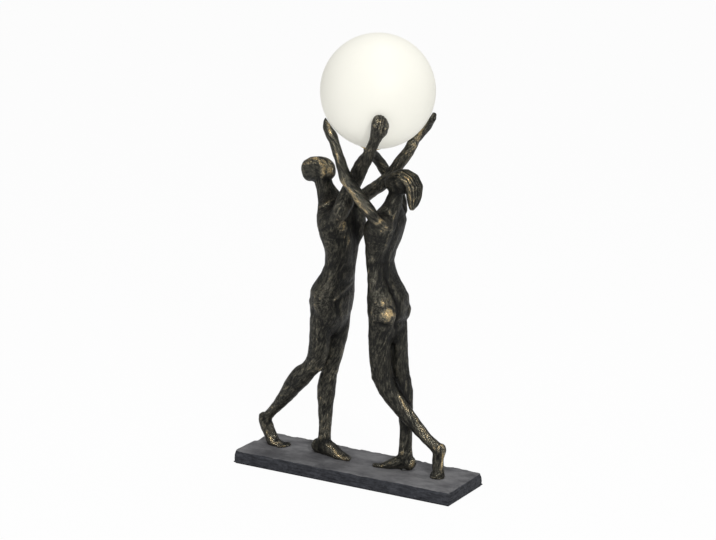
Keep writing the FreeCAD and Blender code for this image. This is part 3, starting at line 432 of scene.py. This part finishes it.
def strokes(mesh, bones, depth, seed, calm):
    """Tool strokes in the clay along the bones, and the attribute `flow` for the finish. Near the path
    `calm` they are fainter."""
    places, normals = points_of(mesh)
    turned = np.array((0.53, 0.61, 0.59)) * COMPRESSED
    measured = [off_path(places, path) for path in bones]
    nearest = np.min([distance for distance, _, _ in measured], axis=0)
    height, weight, flow = np.zeros(len(places)), np.zeros(len(places)), np.zeros_like(places)
    shift = Vector((seed * 0.37, seed * 0.21, 0))
    for distance, along, offset in measured:
        spots = offset + along[:, None] * turned + seed
        flow[distance == nearest] = spots[distance == nearest]
        share = np.exp((nearest - distance) / BLEND)
        for index in np.nonzero(share > 0.03)[0]:
            spot = Vector(spots[index])
            bend = noise.noise_vector(spot * 34 + shift) * 0.013
            crest = 1 - 3 * abs(noise.noise((spot + bend) * CRESTS))
            fine = 1 - 3 * abs(noise.noise((spot + bend * 0.6) * FINE + shift))
            soft = noise.noise(spot * SOFT)
            dabs = noise.noise(Vector(places[index]) * DABS + shift)
            level = 0.11 * crest + 0.09 * fine + 0.55 * soft + 0.36 * dabs
            height[index] += share[index] * level
            weight[index] += share[index]
    quiet = 1 - 0.6 * np.exp(-(off_path(places, calm)[0] / CALM_REACH)**4)
    move_points(mesh, places + normals * (depth * MM * quiet * (height / weight - 0.1))[:, None])
    layer = mesh.attributes.new("flow", "FLOAT_VECTOR", "POINT")
    layer.data.foreach_set("vector", flow.astype("f").ravel())


# %% [markdown]
# ## Wear, painted shade and painted highlights
#
# A hand or a cloth wears what stands out. What stands out is found by letting the mesh relax for a few
# steps: where a point was above its relaxed place it was a crest, where below it was a hollow. A few steps
# find the strokes, and many steps find knees, toes and cheeks. The places that the photographed finish
# shows as polished most are listed one by one.
# The large hollows are also darkened as painted shade, and the listed places carry painted highlights.

# %% Rubbed places, painted shade and painted highlights
NEAR_STEPS, FAR_STEPS = 8, 70    # of relaxing, to find strokes and to find forms
PATCHES = 42    # the scale of the patches, in 1 / metres


def paint_wear_and_light(mesh, spots):
    """Paints wear, painted shade and painted highlights. A spot is a path, its reach in mm and its strength.
    """
    places, normals = points_of(mesh)
    pairs = links_of(mesh)
    near = relaxed(places.astype("d"), pairs, NEAR_STEPS)
    far = relaxed(near, pairs, FAR_STEPS)
    crest = ((places - near) * normals).sum(1)
    form = ((near - far) * normals).sum(1)
    crest, form = np.clip(crest / crest.std(), -2, 2.6), np.clip(form / form.std(), -2.2, 1.8)
    patches = np.array([noise.noise(Vector(place) * PATCHES) for place in places])
    # crests and raised forms count as worn; the large hollows are darkened as painted shade on top of the dye
    wear_shade_and_highlights = 0.30 + 0.09 * crest + 0.13 * form + 0.20 * patches
    # the listed spots are polished places, and they also carry painted highlights
    for path, reach, strength in spots:
        away = off_path(places, path)[0] / (reach * MM)
        wear_shade_and_highlights += strength * np.exp(-away**2) * (0.35 + 0.45 * np.clip(crest + 0.4, 0, 1.6))
    layer = mesh.attributes.new("wear_and_light", "FLOAT", "POINT")
    layer.data.foreach_set("value", np.clip(wear_shade_and_highlights, 0, 1.8).astype("f"))
    print(mesh.name, "mean wear", round(float(wear_shade_and_highlights.mean()), 3))


def place_piece(mesh, nodes, material, body="lamp_stand"):
    """The finished piece, in place of its nodes."""
    piece = bpy.data.objects.new(mesh.name + "_form", mesh)
    bpy.context.collection.objects.link(piece)
    mesh.materials.clear()
    mesh.materials.append(material)
    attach(piece, body)
    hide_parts(*nodes)
    return piece


# %% [markdown]
# ## Hands
#
# Each hand lies on the globe, where a ray from the globe's centre leaves it. The same shoulder points and
# rays place the arms in the CAD model, so the fingers can be carved from them: three grooves between four
# fingers, on the side that faces away from the glass.

# %% Arms and hands
GLOBE_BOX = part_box("glass_globe")
GLOBE_RADIUS = (GLOBE_BOX[1].x - GLOBE_BOX[0].x) / 2
GLOBE_CENTRE = (GLOBE_BOX[0] + GLOBE_BOX[1]) / 2
GLOBE_CENTRE.z = GLOBE_BOX[1].z - GLOBE_RADIUS
# shoulder and bend of the elbow in mm, ray from the globe's centre, and distance of the hand's middle from
# the glass in mm
ARMS = {
    "left_near": ((-31, -30, 332), (1, 12, 2), (0.493, -0.788, -0.367), 10),
    "left_far": ((-30, 28, 332), (7, -5, -6), (0.79, 0.408, -0.46), 3.5),
    "right_near": ((46, -28, 332), (3, -20, 0), (-0.631, -0.514, -0.581), 2.8),
    "right_far": ((42, 27, 331), (0, 25, 4), (-0.2, 0.12, -0.972), 11),
}


def hand_place(side):
    """The hand's middle in mm, and the ray that leaves the globe there."""
    ray = Vector(ARMS[side][2]).normalized()
    place = GLOBE_CENTRE + ray * (GLOBE_RADIUS + ARMS[side][3] * MM)
    return Vector((place.x, place.y, place.z - BASE_TOP)) / MM, ray


def arm_bones(side):
    """Shoulder, elbow and hand."""
    shoulder, bend = Vector(ARMS[side][0]), Vector(ARMS[side][1])
    hand = hand_place(side)[0]
    return [tuple(shoulder), tuple((shoulder + hand) / 2 + bend), tuple(hand)]


def carve_fingers(mesh, side, length=15, spread=3.6, depth=1.0, reach=1.0):
    """Three grooves over the back of a hand, towards the fingertips. A reach below 1 curls the fingers in."""
    hand, ray = hand_place(side)
    along = (hand - Vector(arm_bones(side)[1])).normalized()
    across = along.cross(ray).normalized()
    outward = across.cross(along)
    places, normals = points_of(mesh)
    away = places / MM - np.array((hand.x, hand.y, hand.z + BASE_TOP / MM))
    forward, sideways, raised = (away @ np.array(axis) for axis in (along, across, outward))
    inside = (np.abs(raised) < 16) & (forward < length + 4) & (np.abs(sideways) < 14)
    fade = np.clip((forward + 2) / 3, 0, 1) * inside
    press = sum(np.exp(-((sideways - step * spread) / 0.9)**2) for step in (-1, 0, 1))
    places = places - normals * (press * fade * depth * MM)[:, None]
    back = np.clip(forward - 2, 0, None) * inside * (1 - reach) * MM
    move_points(mesh, places - back[:, None] * np.array(along))


for side in ARMS:
    print(side, "hand at", [round(v, 1) for v in hand_place(side)[0]])

# %% [markdown]
# ## Left figure
#
# It strides to the right and looks up. The head is tilted so far back that it is a smooth horizontal egg
# with a soft ridge between its crown and its face. The face is left as plain clay, as on the real figure.

# %% Left figure: forms
TOE_REACH = 7
# across the foot from its middle line, back from the tip, and radius, in mm
TOES = ((-6.2, 0, 3.1), (-1.9, 0.6, 2.2), (1.6, 1.6, 2.1), (4.8, 3, 2.0), (7.6, 5, 1.9))
TOE_GAPS = ((-3.6, 1), (0, 1.5), (3.3, 2.5), (6.2, 4))


def toes(tip_x, tip_y, heading, big_side):
    """Five toes side by side. Heading is +1 or -1 along x, big_side is the side of the big toe along y."""
    made = []
    for number, (across, back, radius) in enumerate(TOES):
        centre = (tip_x - heading * (TOE_REACH / 2 + back), tip_y - big_side * across, radius * 0.75)
        made.append((centre, (TOE_REACH - number * 0.5, radius, radius)))
    return made


def carve_toes(mesh, tip_x, tip_y, heading, big_side):
    """The gaps between the toes that `toes` makes with the same arguments."""
    for across, back in TOE_GAPS:
        y = tip_y - big_side * across
        groove(mesh, [(tip_x - heading * back, y, 1), (tip_x - heading * (back + 9), y, 5)], 0.9, 0.9)


LEFT_NODES = ["figure_left_body", "figure_left_near_arm", "figure_left_far_arm"]
LEFT_FORMS = [
    ((-16.5, -17, 325), (9, 16, 13)), ((-16.5, 16, 325), (9, 16, 13)),   # chest
    ((-18, -1, 262), (10, 19, 17)),                                       # belly
    ((-46.5, -15, 334), (7, 10, 14)), ((-46.5, 15, 334), (7, 10, 14)),   # shoulder blades
    ((-31, -30, 336), (13, 12, 13)), ((-31, 28, 336), (13, 12, 13)),     # shoulders
    ((-22, -26, 341), (15, 14, 12)),                                      # the raised near arm's root
    ((-11, 18, 322), (11, 13, 25)),                                       # far side of the chest
    ((-53, -13, 130), (8, 9, 9)), ((-45, 12, 119), (8, 9, 9)),           # knee caps
    ((-141, -5, 35), (4, 3.5, 4)), ((-141, 3.5, 36), (4, 3.5, 4)),       # ankle bones of the raised foot
    ((-54, -1, 24), (4, 3.5, 4)), ((-54, 11, 26), (4, 3.5, 4)),          # ankle bones of the flat foot
    ((-75, 0, 394), (10, 14, 16)), ((-52, 0, 403), (11, 11, 8)),         # crown and face of the head
]
left_figure = melted("left_figure", [NODES[node].data for node in LEFT_NODES], LEFT_FORMS, FORM_VOXEL, 2)
smoothed(left_figure, EVEN_PASSES)
soften(left_figure, [(-36, -36, 338), (-30, -38, 331), (-22, -34, 325), (-14, -28, 322)], 17, 220)
soften(left_figure, [(-10, 24, 296), (-8, 24, 308)], 14, 140)
soften(left_figure, [(-14, -38, 348), (-14, -34, 336), (-12, -26, 328)], 13, 160)
soften(left_figure, [(-42, -34, 200), (-24, -22, 198), (-20, 0, 192), (-24, 22, 198), (-42, 34, 200)], 11, 70)
LEFT_FEET = ((-9, 0, 1, -1), (-111, 0, 1, 1))
LEFT_TOES = [toe for foot in LEFT_FEET for toe in toes(*foot)]
left_figure = melted("left_figure", [left_figure], LEFT_TOES, SKIN_VOXEL, 2)

# %% Left figure: carving
for path, width, depth in [
    # the ridge between crown and face, and the hollow over the face
    ([(-66, -6, 413), (-54, -10, 408), (-47, -11, 401), (-46, -12, 393), (-50, -12, 385)], 2.6, -0.8),
    ([(-64, 0, 416), (-50, -4, 412), (-40, -6, 404)], 3, 0.5),
    # the collar line and the hollow under it
    ([(-47, -26, 350), (-39, -28, 354), (-33, -24, 358), (-29, -15, 361)], 1.8, -0.9),
    ([(-46, -28, 346), (-37, -30, 350), (-30, -25, 354)], 2.6, 0.7),
    # the breastbone and the fold under the chest
    ([(-9, -1, 340), (-7, 0, 322), (-8, 0, 300), (-10, 0, 282)], 3.5, 0.9),
    ([(-24, -33, 318), (-15, -29, 311), (-8, -18, 309)], 3.2, 1.1),
    # the loins: a ridge, a hollow and the furrow between the thighs
    ([(-15, 16, 249), (-13, 1, 245), (-14, -11, 240), (-17, -19, 234), (-20, -25, 228)], 3.0, -0.8),
    ([(-14, 3, 238), (-16, -8, 232), (-20, -17, 226)], 4, 1.3),
    ([(-20, -22, 224), (-21, -18, 212), (-24, -10, 198), (-31, -4, 180), (-38, -2, 155)], 3.6, 2.8),
    # the back: spine, cleft and the folds under the seat
    ([(-58, 0, 372), (-53, 0, 345), (-46, 0, 312), (-44, 0, 284), (-53, 0, 250)], 4, 1.6),
    ([(-61, 0, 238), (-63, 0, 222), (-62, 0, 203), (-56, 0, 190)], 3.2, 3.2),
    ([(-47, -33, 212), (-60, -20, 200), (-60, -4, 197)], 3.5, 1.4),
    ([(-47, 33, 212), (-60, 20, 200), (-60, 4, 197)], 3.5, 1.4),
    # behind the knees, and the fold over the instep
    ([(-66, -7, 132), (-66, -22, 131)], 4, 1.3),
    ([(-62, -4, 114), (-62, 16, 116)], 4, 1.2),
    ([(-58, -5, 32), (-46, -5, 31), (-43, 6, 32)], 1.6, -0.5),
]:
    groove(left_figure, path, width, depth)
for foot in LEFT_FEET:
    carve_toes(left_figure, *foot)
carve_fingers(left_figure, "left_near", 15, 3.8, 0.8, 0.5)
carve_fingers(left_figure, "left_far", 14, 3.4, 0.8)

# %% Left figure: strokes and wear
LEFT_BONES = [
    [(-86, 0, 393), (-60, 0, 396), (-38, 0, 397)],
    [(-57, 0, 388), (-46, 0, 362), (-31, 0, 335), (-25, 0, 286), (-34, 0, 244), (-41, 0, 200)],
    [(-45, -17, 215), (-50, -15, 154), (-69, -12, 121), (-96, -9, 92), (-125, -4, 58), (-147, -1, 34),
     (-138, 0, 14), (-112, 0, 3)],
    [(-36, 16, 215), (-44, 14, 146), (-54, 10, 91), (-53, 6, 41), (-54, 5, 12), (-10, 0, 2)],
    arm_bones("left_near"), arm_bones("left_far"),
]
# polished places as paths with reach and strength: worn bronze, partly painted highlights
LEFT_RUBBED_AND_HIGHLIGHTS = [
    ([(-66, -6, 413), (-54, -10, 408), (-47, -11, 401), (-46, -12, 393), (-50, -12, 385)], 4.5, 0.4),
    ([(-41, -6, 400)], 8, 0.6), ([(-66, -8, 411), (-50, -6, 411)], 7, 0.5), ([(-76, -10, 404)], 11, 0.3),
    ([(-11, -22, 331)], 9, 1.8), ([(-8, -17, 310)], 9, 0.7), ([(-12, -5, 338)], 8, 0.3),
    ([(-47, -26, 350), (-39, -28, 354), (-33, -24, 358), (-29, -15, 361)], 3, 0.25),
    ([(-15, 16, 249), (-13, 1, 245), (-14, -11, 240), (-20, -25, 228)], 4, 0.2),
    ([(-26, -31, 254), (-26, -32, 246)], 6, 0.35), ([(-50, -30, 226)], 10, 0.15),
    ([(-52, -20, 128)], 9, 0.4), ([(-42, 4, 112)], 8, 0.3),
    ([(-44, 2, 106), (-45, 0, 60), (-46, -2, 32)], 3, 0.2),
    ([(-48, -5, 24), (-32, -4, 12), (-14, -6, 3)], 5, 0.45),
    ([(-147, -5, 34), (-140, -7, 20), (-128, -6, 8), (-114, -4, 3)], 5, 0.5),
    ([(77, -76, 478)], 9, 0.4), ([(84, 31, 470), (78, 30, 456), (66, 28, 432)], 4, 0.6),
]
strokes(left_figure, LEFT_BONES, 1.35, 1, [(-84, 0, 393), (-40, 0, 397)])
paint_wear_and_light(left_figure, LEFT_RUBBED_AND_HIGHLIGHTS)
place_piece(left_figure, LEFT_NODES, BRONZE)

# %% [markdown]
# ## Right figure
#
# It is seen from behind: a furrow runs down its back into the cleft of the seat, and its hair hangs at the
# back of the head as one heavy lobe, combed into looped strands.

# %% Right figure: forms
RIGHT_NODES = ["figure_right_body", "figure_right_near_arm", "figure_right_far_arm"]
RIGHT_FORMS = [
    ((55.5, -18, 337), (7, 10, 14)), ((55.5, 12, 337), (7, 10, 14)),     # shoulder blades
    ((46, -29, 337), (13, 12, 12)), ((42, 28, 334), (12, 11, 12)),       # shoulders
    ((42, -32, 334), (13, 11, 13)), ((53, -24, 339), (9, 12, 12)),       # the near arm's root
    ((33, -23, 325), (12, 12, 21)),                                       # near side of the chest
    ((57, 0, 217), (12.5, 16, 16)), ((54, -25, 219), (14, 13, 15)),      # seat, turned a little
    ((38, -13, 129), (7, 9, 9)), ((54, 12, 122), (7, 8, 8)),             # knee caps
    ((32, -17, 325), (9, 14, 11)), ((32, 16, 325), (9, 14, 11)),         # chest
    ((124, -5, 40), (4, 3.5, 4)), ((124, 3.5, 41), (4, 3.5, 4)),         # ankle bones of the raised foot
    ((73, -1.5, 25), (4, 3.5, 4)), ((73, 10.5, 27), (4, 3.5, 4)),        # ankle bones of the flat foot
]
right_figure = melted("right_figure", [NODES[node].data for node in RIGHT_NODES], RIGHT_FORMS, FORM_VOXEL, 2)
smoothed(right_figure, EVEN_PASSES)
soften(right_figure, [(26, -28, 306), (24, -26, 316)], 12, 140)
soften(right_figure, [(34, -34, 336), (42, -38, 330), (50, -36, 348), (50, -34, 336), (50, -30, 324)],
       15, 200)
soften(right_figure, [(40, -35, 240), (56, -26, 244), (62, 0, 244), (54, 26, 244)], 11, 80)
soften(right_figure, [(44, -36, 200), (28, -22, 198), (24, 0, 192), (28, 22, 198), (44, 36, 200)], 11, 70)
FLAT_FOOT, RAISED_FOOT = (33.5, -2, -1, -1), (116, -2, -1, 1)
RIGHT_TOES = toes(*FLAT_FOOT) + toes(*RAISED_FOOT)
right_figure = melted("right_figure", [right_figure], RIGHT_TOES, SKIN_VOXEL, 2)

# %% Right figure: hair
# x, height, half width and half depth along the lobe, as in the casting
HAIR = [(62, 399, 13, 8), (70, 399.5, 15, 9.5), (77.5, 395.5, 16, 10.5), (83.5, 386, 15.5, 10.5),
        (83.5, 374, 13, 9.5), (82.5, 364, 9, 7.5), (81, 356, 4, 3.5)]


def strand(share):
    """A line over the lobe's outside; share goes from -1 to 1 across its width."""
    path = []
    neighbours = zip([HAIR[0], *HAIR], [*HAIR[1:], HAIR[-1]])
    for (before, after), (x, height, half_width, half_depth) in zip(neighbours, HAIR):
        run = Vector((after[0] - before[0], after[1] - before[1])).normalized()
        rise = half_depth * math.sqrt(1 - share**2)
        path.append((x - run.y * rise, half_width * share, height + run.x * rise))
    return path


for share in (-0.92, -0.70, -0.46, -0.2, 0.08, 0.36, 0.62, 0.86):
    groove(right_figure, strand(share), 1.1, 1.1)
for share in (-0.81, -0.58, -0.33, -0.06, 0.22, 0.49, 0.74):
    groove(right_figure, strand(share), 1.0, -0.35)

# %% Right figure: carving
SPINE = [(63, 3, 352), (61, -2, 338), (60, -8, 321), (53, -11, 300), (50, -12, 284), (51, -13, 268),
         (59, -14, 251)]
for path, width, depth in [
    # the back: spine with a fine line in it, and the long muscles beside it
    (SPINE, 4.2, 1.7), (SPINE, 1.4, 0.7),
    ([(62, -9, 353), (60, -17, 340), (58, -20, 325), (52, -20, 306), (49, -20, 285)], 2.4, -0.6),
    ([(60, 8, 335), (57, 3, 318), (51, -2, 298), (50, -4, 280)], 2.4, -0.5),
    # cleft, fold under the seat, and the furrow between the thighs
    ([(60, -14, 248), (68, -14, 236), (71, -13, 224), (70, -13, 212), (66, -12, 202)], 4.2, 4.2),
    ([(50, -37, 206), (60, -31, 203), (67, -22, 203), (69, -13, 204), (69, 4, 204), (64, 20, 203)], 3.6, 2.2),
    ([(66, -10, 200), (60, -2, 186), (54, 1, 170), (57, -3, 153)], 3.4, 2.2),
    # the edge of the hair and the nape under it
    ([(58, -14, 398), (63, -14, 386), (67, -13, 376)], 4, 1.4),
    ([(58, -22, 364), (66, -14, 371), (76, -10, 367)], 3.5, 1.0),
    # the breastbone, and behind the knees
    ([(30, 0, 340), (27, 0, 322), (20, 0, 300), (19, 0, 284)], 3.5, 0.9),
    ([(57, -18, 130), (57, -4, 131)], 4, 1.1), ([(75, 5, 128), (75, 18, 129)], 4, 1.0),
    # the raised heel: its ridge and the hollow beside it
    ([(132, -3, 47), (135, -4, 34), (133, -4, 20), (130, -5, 8)], 1.6, -1.0),
    ([(132, -7, 34), (131, -9, 18), (130, -9, 8)], 2, 0.7),
]:
    groove(right_figure, path, width, depth)
carve_toes(right_figure, *FLAT_FOOT)
carve_fingers(right_figure, "right_near", 14, 3.6, 0.9)

# %% Right figure: strokes and wear
RIGHT_BONES = [
    [(44, 0, 384), (65, 0, 392), (82, 0, 390), (82, 0, 358)],
    [(60, 0, 388), (50, 0, 352), (41, 0, 325), (34, 0, 284), (42, 0, 244), (47, 0, 200)],
    [(45, -16, 215), (44, -15, 160), (53, -10, 112), (91, -4, 68), (121, -1, 42), (127, -2, 10),
     (114, -2, 2)],
    [(49, 16, 215), (55, 14, 163), (67, 10, 108), (73, 6, 55), (73, 5, 12), (34, -2, 2)],
    arm_bones("right_near"), arm_bones("right_far"),
]
# polished places as paths with reach and strength: worn bronze, partly painted highlights
RIGHT_RUBBED_AND_HIGHLIGHTS = [
    ([(52, -10, 404), (62, -12, 407), (74, -12, 407), (84, -12, 399)], 4, 0.6), ([(78, -8, 405)], 7, 0.35),
    ([(82, -14, 392), (84, -13, 374), (83, -8, 360)], 7, 0.4),
    ([(54, -38, 344)], 7, 1.0), ([(60, -17, 350)], 5, 1.1), ([(57, -32, 331)], 7, 1.1),
    ([(62, -9, 353), (60, -17, 340), (58, -20, 325), (52, -20, 306), (49, -20, 285)], 2.4, 0.4),
    ([(57, 3, 318), (51, -2, 298), (50, -4, 280)], 2, 0.3),
    ([(64, -29, 222)], 10, 1.25), ([(58, -31, 238)], 9, 0.85), ([(42, -38, 223)], 2.5, 0.9),
    ([(70, 8, 222)], 9, 0.3),
    ([(45, -34, 275), (45, -34, 262)], 8, 0.15),
    ([(72, -12, 107), (84, -12, 92), (96, -10, 77), (107, -9, 63), (116, -8, 53)], 4.5, 0.85),
    ([(132, -3, 47), (135, -4, 34), (133, -4, 20), (130, -5, 8)], 2.6, 0.9), ([(124, -8, 44)], 6, 0.4),
    ([(73, -4, 26), (62, -4, 15), (46, -6, 6)], 5, 0.45), ([(86, 2, 10)], 6, 0.6), ([(36, -6, 2)], 5, 0.3),
    ([(12, -62, 396), (23, -61, 384), (33, -58, 372), (43, -54, 359)], 4.5, 0.75),
    ([(-19, -48, 470), (-13, -51, 458), (-8, -53, 446), (3, -58, 422)], 2.6, 0.9),
    ([(17, 30, 405), (26, 38, 391)], 4, 0.3),
]
strokes(right_figure, RIGHT_BONES, 1.35, 5, [(48, 0, 386), (78, 0, 392), (82, 0, 362)])
paint_wear_and_light(right_figure, RIGHT_RUBBED_AND_HIGHLIGHTS)
place_piece(right_figure, RIGHT_NODES, BRONZE)

# %% [markdown]
# ## Slab
#
# A sawn slate slab with broken edges: its sides were split off by hand, so small shells are missing along
# the rims and the sides show the stone's layers. The melted copy of the solid is only ever pressed inwards.

# %% Slab
SLAB_VOXEL = 1.4    # mm
FLAT_INSIDE = 0.007    # the top is nearly flat that far from the rim, in metres
CHIP_DEPTH = 3.6    # of the largest shells broken off the rims, in mm
CHIP_REACH_HIGH, CHIP_REACH_LOW = 0.0045, 0.005    # from the upper and the lower rim, in metres
CORNER_DEPTH, CORNER_REACH = 1.2, 0.007    # in mm, and in metres
slab = melted("slab", [NODES["base_slab"].data], [], SLAB_VOXEL, 3)
places, normals = points_of(slab)
low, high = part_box("base_slab")
to_end = np.minimum(places[:, 0] - low.x, high.x - places[:, 0])
to_edge = np.minimum(places[:, 1] - low.y, high.y - places[:, 1])
to_side, to_corner = np.minimum(to_end, to_edge), to_end + to_edge
press = np.zeros(len(places))
for index, (place, normal) in enumerate(zip(places, normals)):
    spot = Vector(place)
    if normal[2] < -0.5:
        continue
    if normal[2] > 0.8 and to_side[index] > FLAT_INSIDE:
        press[index] = 0.22 * (1 + noise.noise(spot * 55)) + 0.1 * (1 + noise.noise(spot * 200))
        continue
    layers = noise.noise(Vector((spot.x * 22, spot.y * 22, spot.z * 300)))
    shells = noise.noise(Vector((spot.x * 80, spot.y * 80, spot.z * 110)))
    chips = max(0.0, noise.noise(spot * 42) - 0.02) + 0.5 * max(0.0, noise.noise(spot * 110))
    rim = (math.exp(-((high.z - place[2]) / CHIP_REACH_HIGH)**2)
           + 0.9 * math.exp(-((place[2] - low.z) / CHIP_REACH_LOW)**2))
    press[index] = 0.2 * (1 + layers) + 0.25 * (1 + shells) + CHIP_DEPTH * rim * chips
    press[index] += CORNER_DEPTH * math.exp(-(to_corner[index] / CORNER_REACH)**2)
move_points(slab, places - normals * (press * MM)[:, None])
place_piece(slab, ["base_slab"], SLATE)
print("slab pressed in by up to", round(float(press.max()), 2), "mm")

# %% Globe
AXIS = Vector(next(joint for joint in frame["joints"] if joint["name"] == "globe_lift")["axis"])
WALL, NECK = 0.0025, 0.013    # thickness and the opening's radius, in metres
ROWS, TURNS = 44, 96


def glass_ball():
    """A profile from the rim over the top and back inside, spun round the fitting's axis."""
    bm = bmesh.new()
    rim = math.asin((NECK + 0.002) / GLOBE_RADIUS)
    inner = GLOBE_RADIUS - WALL
    inner_rim = math.asin(NECK / inner)
    outside = [(GLOBE_RADIUS * math.sin(t), -GLOBE_RADIUS * math.cos(t))
               for t in (rim + (math.pi - rim) * row / ROWS for row in range(ROWS + 1))]
    inside = [(inner * math.sin(t), -inner * math.cos(t))
              for t in (math.pi + (inner_rim - math.pi) * row / ROWS for row in range(ROWS + 1))]
    profile = [bm.verts.new((x, 0, z)) for x, z in outside + inside + outside[:1]]
    edges = [bm.edges.new(pair) for pair in zip(profile, profile[1:])
             if (pair[0].co - pair[1].co).length > DOUBLES / 2]
    bmesh.ops.spin(bm, geom=profile + edges, cent=(0, 0, 0), axis=(0, 0, 1), angle=math.tau, steps=TURNS,
                   use_merge=True)
    bmesh.ops.remove_doubles(bm, verts=bm.verts, dist=1e-5)
    bmesh.ops.recalc_face_normals(bm, faces=bm.faces)
    turn = Vector((0, 0, 1)).rotation_difference(AXIS).to_matrix().to_4x4()
    bmesh.ops.transform(bm, matrix=Matrix.Translation(GLOBE_CENTRE) @ turn, verts=bm.verts)
    mesh = bpy.data.meshes.new("globe")
    bm.to_mesh(mesh)
    bm.free()
    mesh.shade_smooth()
    return mesh


place_piece(glass_ball(), ["glass_globe"], OPAL, body="globe")

# %% [markdown]
# ## Room, light and camera
#
# The lamp stands in a white studio. The floor is pale, and full white is seen only by the camera and through
# clear glass, so the bronze mirrors a dimmer room and the shapes of the lamps. Three soft lamps light it.

# %% Light path


def seen_directly():
    """1 for rays from the camera and for those let through by the object, otherwise 0."""
    path = Shade.tree.nodes.new("ShaderNodeLightPath")
    rays = [Shade(path.outputs[name]) for name in ("Is Camera Ray", "Is Transmission Ray")]
    return rays[0].maths("MAXIMUM", rays[0], rays[1])


# %% Floor
FLOOR_SIZE = 8
WHITENESS = 0.965    # the rest of what the camera sees of the floor is its shadowed paper
bm = bmesh.new()
bmesh.ops.create_grid(bm, x_segments=1, y_segments=1, size=FLOOR_SIZE)
floor_mesh = bpy.data.meshes.new("floor")
bm.to_mesh(floor_mesh)
bm.free()
floor = bpy.data.objects.new("floor", floor_mesh)
bpy.context.collection.objects.link(floor)

studio_floor = bpy.data.materials.new("studio_floor")
studio_floor.use_nodes = True
Shade.tree = studio_floor.node_tree
Shade.tree.nodes.clear()
paper = Shade.node("BsdfDiffuse", Color=(0.9, 0.9, 0.9, 1))
white = Shade.node("Emission", Color=(1, 1, 1, 1), Strength=1.0)
surface = Shade.node("MixShader", _0=seen_directly() * WHITENESS, _1=paper, _2=white)
Shade.node("OutputMaterial", Surface=surface)
floor_mesh.materials.append(studio_floor)

# %% World
AMBIENT = 0.26    # how bright the room is for the object
world = bpy.data.worlds.new("studio")
bpy.context.scene.world = world
world.use_nodes = True
Shade.tree = world.node_tree
Shade.tree.nodes.clear()
sky = Shade.node("Background", Color=(1, 1, 1, 1), Strength=seen_directly() * (1 - AMBIENT) + AMBIENT)
Shade.node("OutputWorld", Surface=sky)


# %% Lamps
MIDDLE = Vector((0, 0, 0.3))
LAMPS = {    # place, width and power
    "key_light": ((1.7, -1.5, 1.6), 0.45, 31),
    "fill_light": ((-1.4, -1.8, 1.0), 0.7, 9),
    "top_light": ((0.2, 0.3, 2.2), 1.0, 10),
}
for lamp_name, (place, width, power) in LAMPS.items():
    lamp_data = bpy.data.lights.new(lamp_name, "AREA")
    lamp_data.shape, lamp_data.size, lamp_data.energy = "DISK", width, power
    lamp = bpy.data.objects.new(lamp_name, lamp_data)
    lamp.location = place
    lamp.rotation_euler = (MIDDLE - Vector(place)).to_track_quat("-Z", "Y").to_euler()
    bpy.context.collection.objects.link(lamp)
    print(lamp_name, power, "W")

# %% Camera
AZIMUTH, ELEVATION, ROLL = math.radians(30.23), math.radians(13.39), math.radians(0.46)
AIM = Vector((0, 0, 0.29))
DISTANCE, TO_RIGHT, UPWARDS = 2.653, 0.0002, -0.0043
SENSOR, FOCAL_PIXELS, PICTURE_PIXELS = 36, 2000, 716
back = Vector((math.sin(AZIMUTH) * math.cos(ELEVATION), -math.cos(AZIMUTH) * math.cos(ELEVATION),
               math.sin(ELEVATION)))
right = Vector((0, 0, 1)).cross(back).normalized()
up = back.cross(right)
right, up = (right * math.cos(ROLL) + up * math.sin(ROLL), up * math.cos(ROLL) - right * math.sin(ROLL))
camera_data = bpy.data.cameras.new("camera")
camera_data.sensor_width, camera_data.lens = SENSOR, SENSOR * FOCAL_PIXELS / PICTURE_PIXELS
camera = bpy.data.objects.new("camera", camera_data)
bpy.context.collection.objects.link(camera)
camera.matrix_world = Matrix((right, up, back)).transposed().to_4x4()
camera.location = AIM + back * DISTANCE + right * TO_RIGHT + up * UPWARDS
bpy.context.scene.camera = camera
bpy.context.scene.view_settings.view_transform = "Standard"
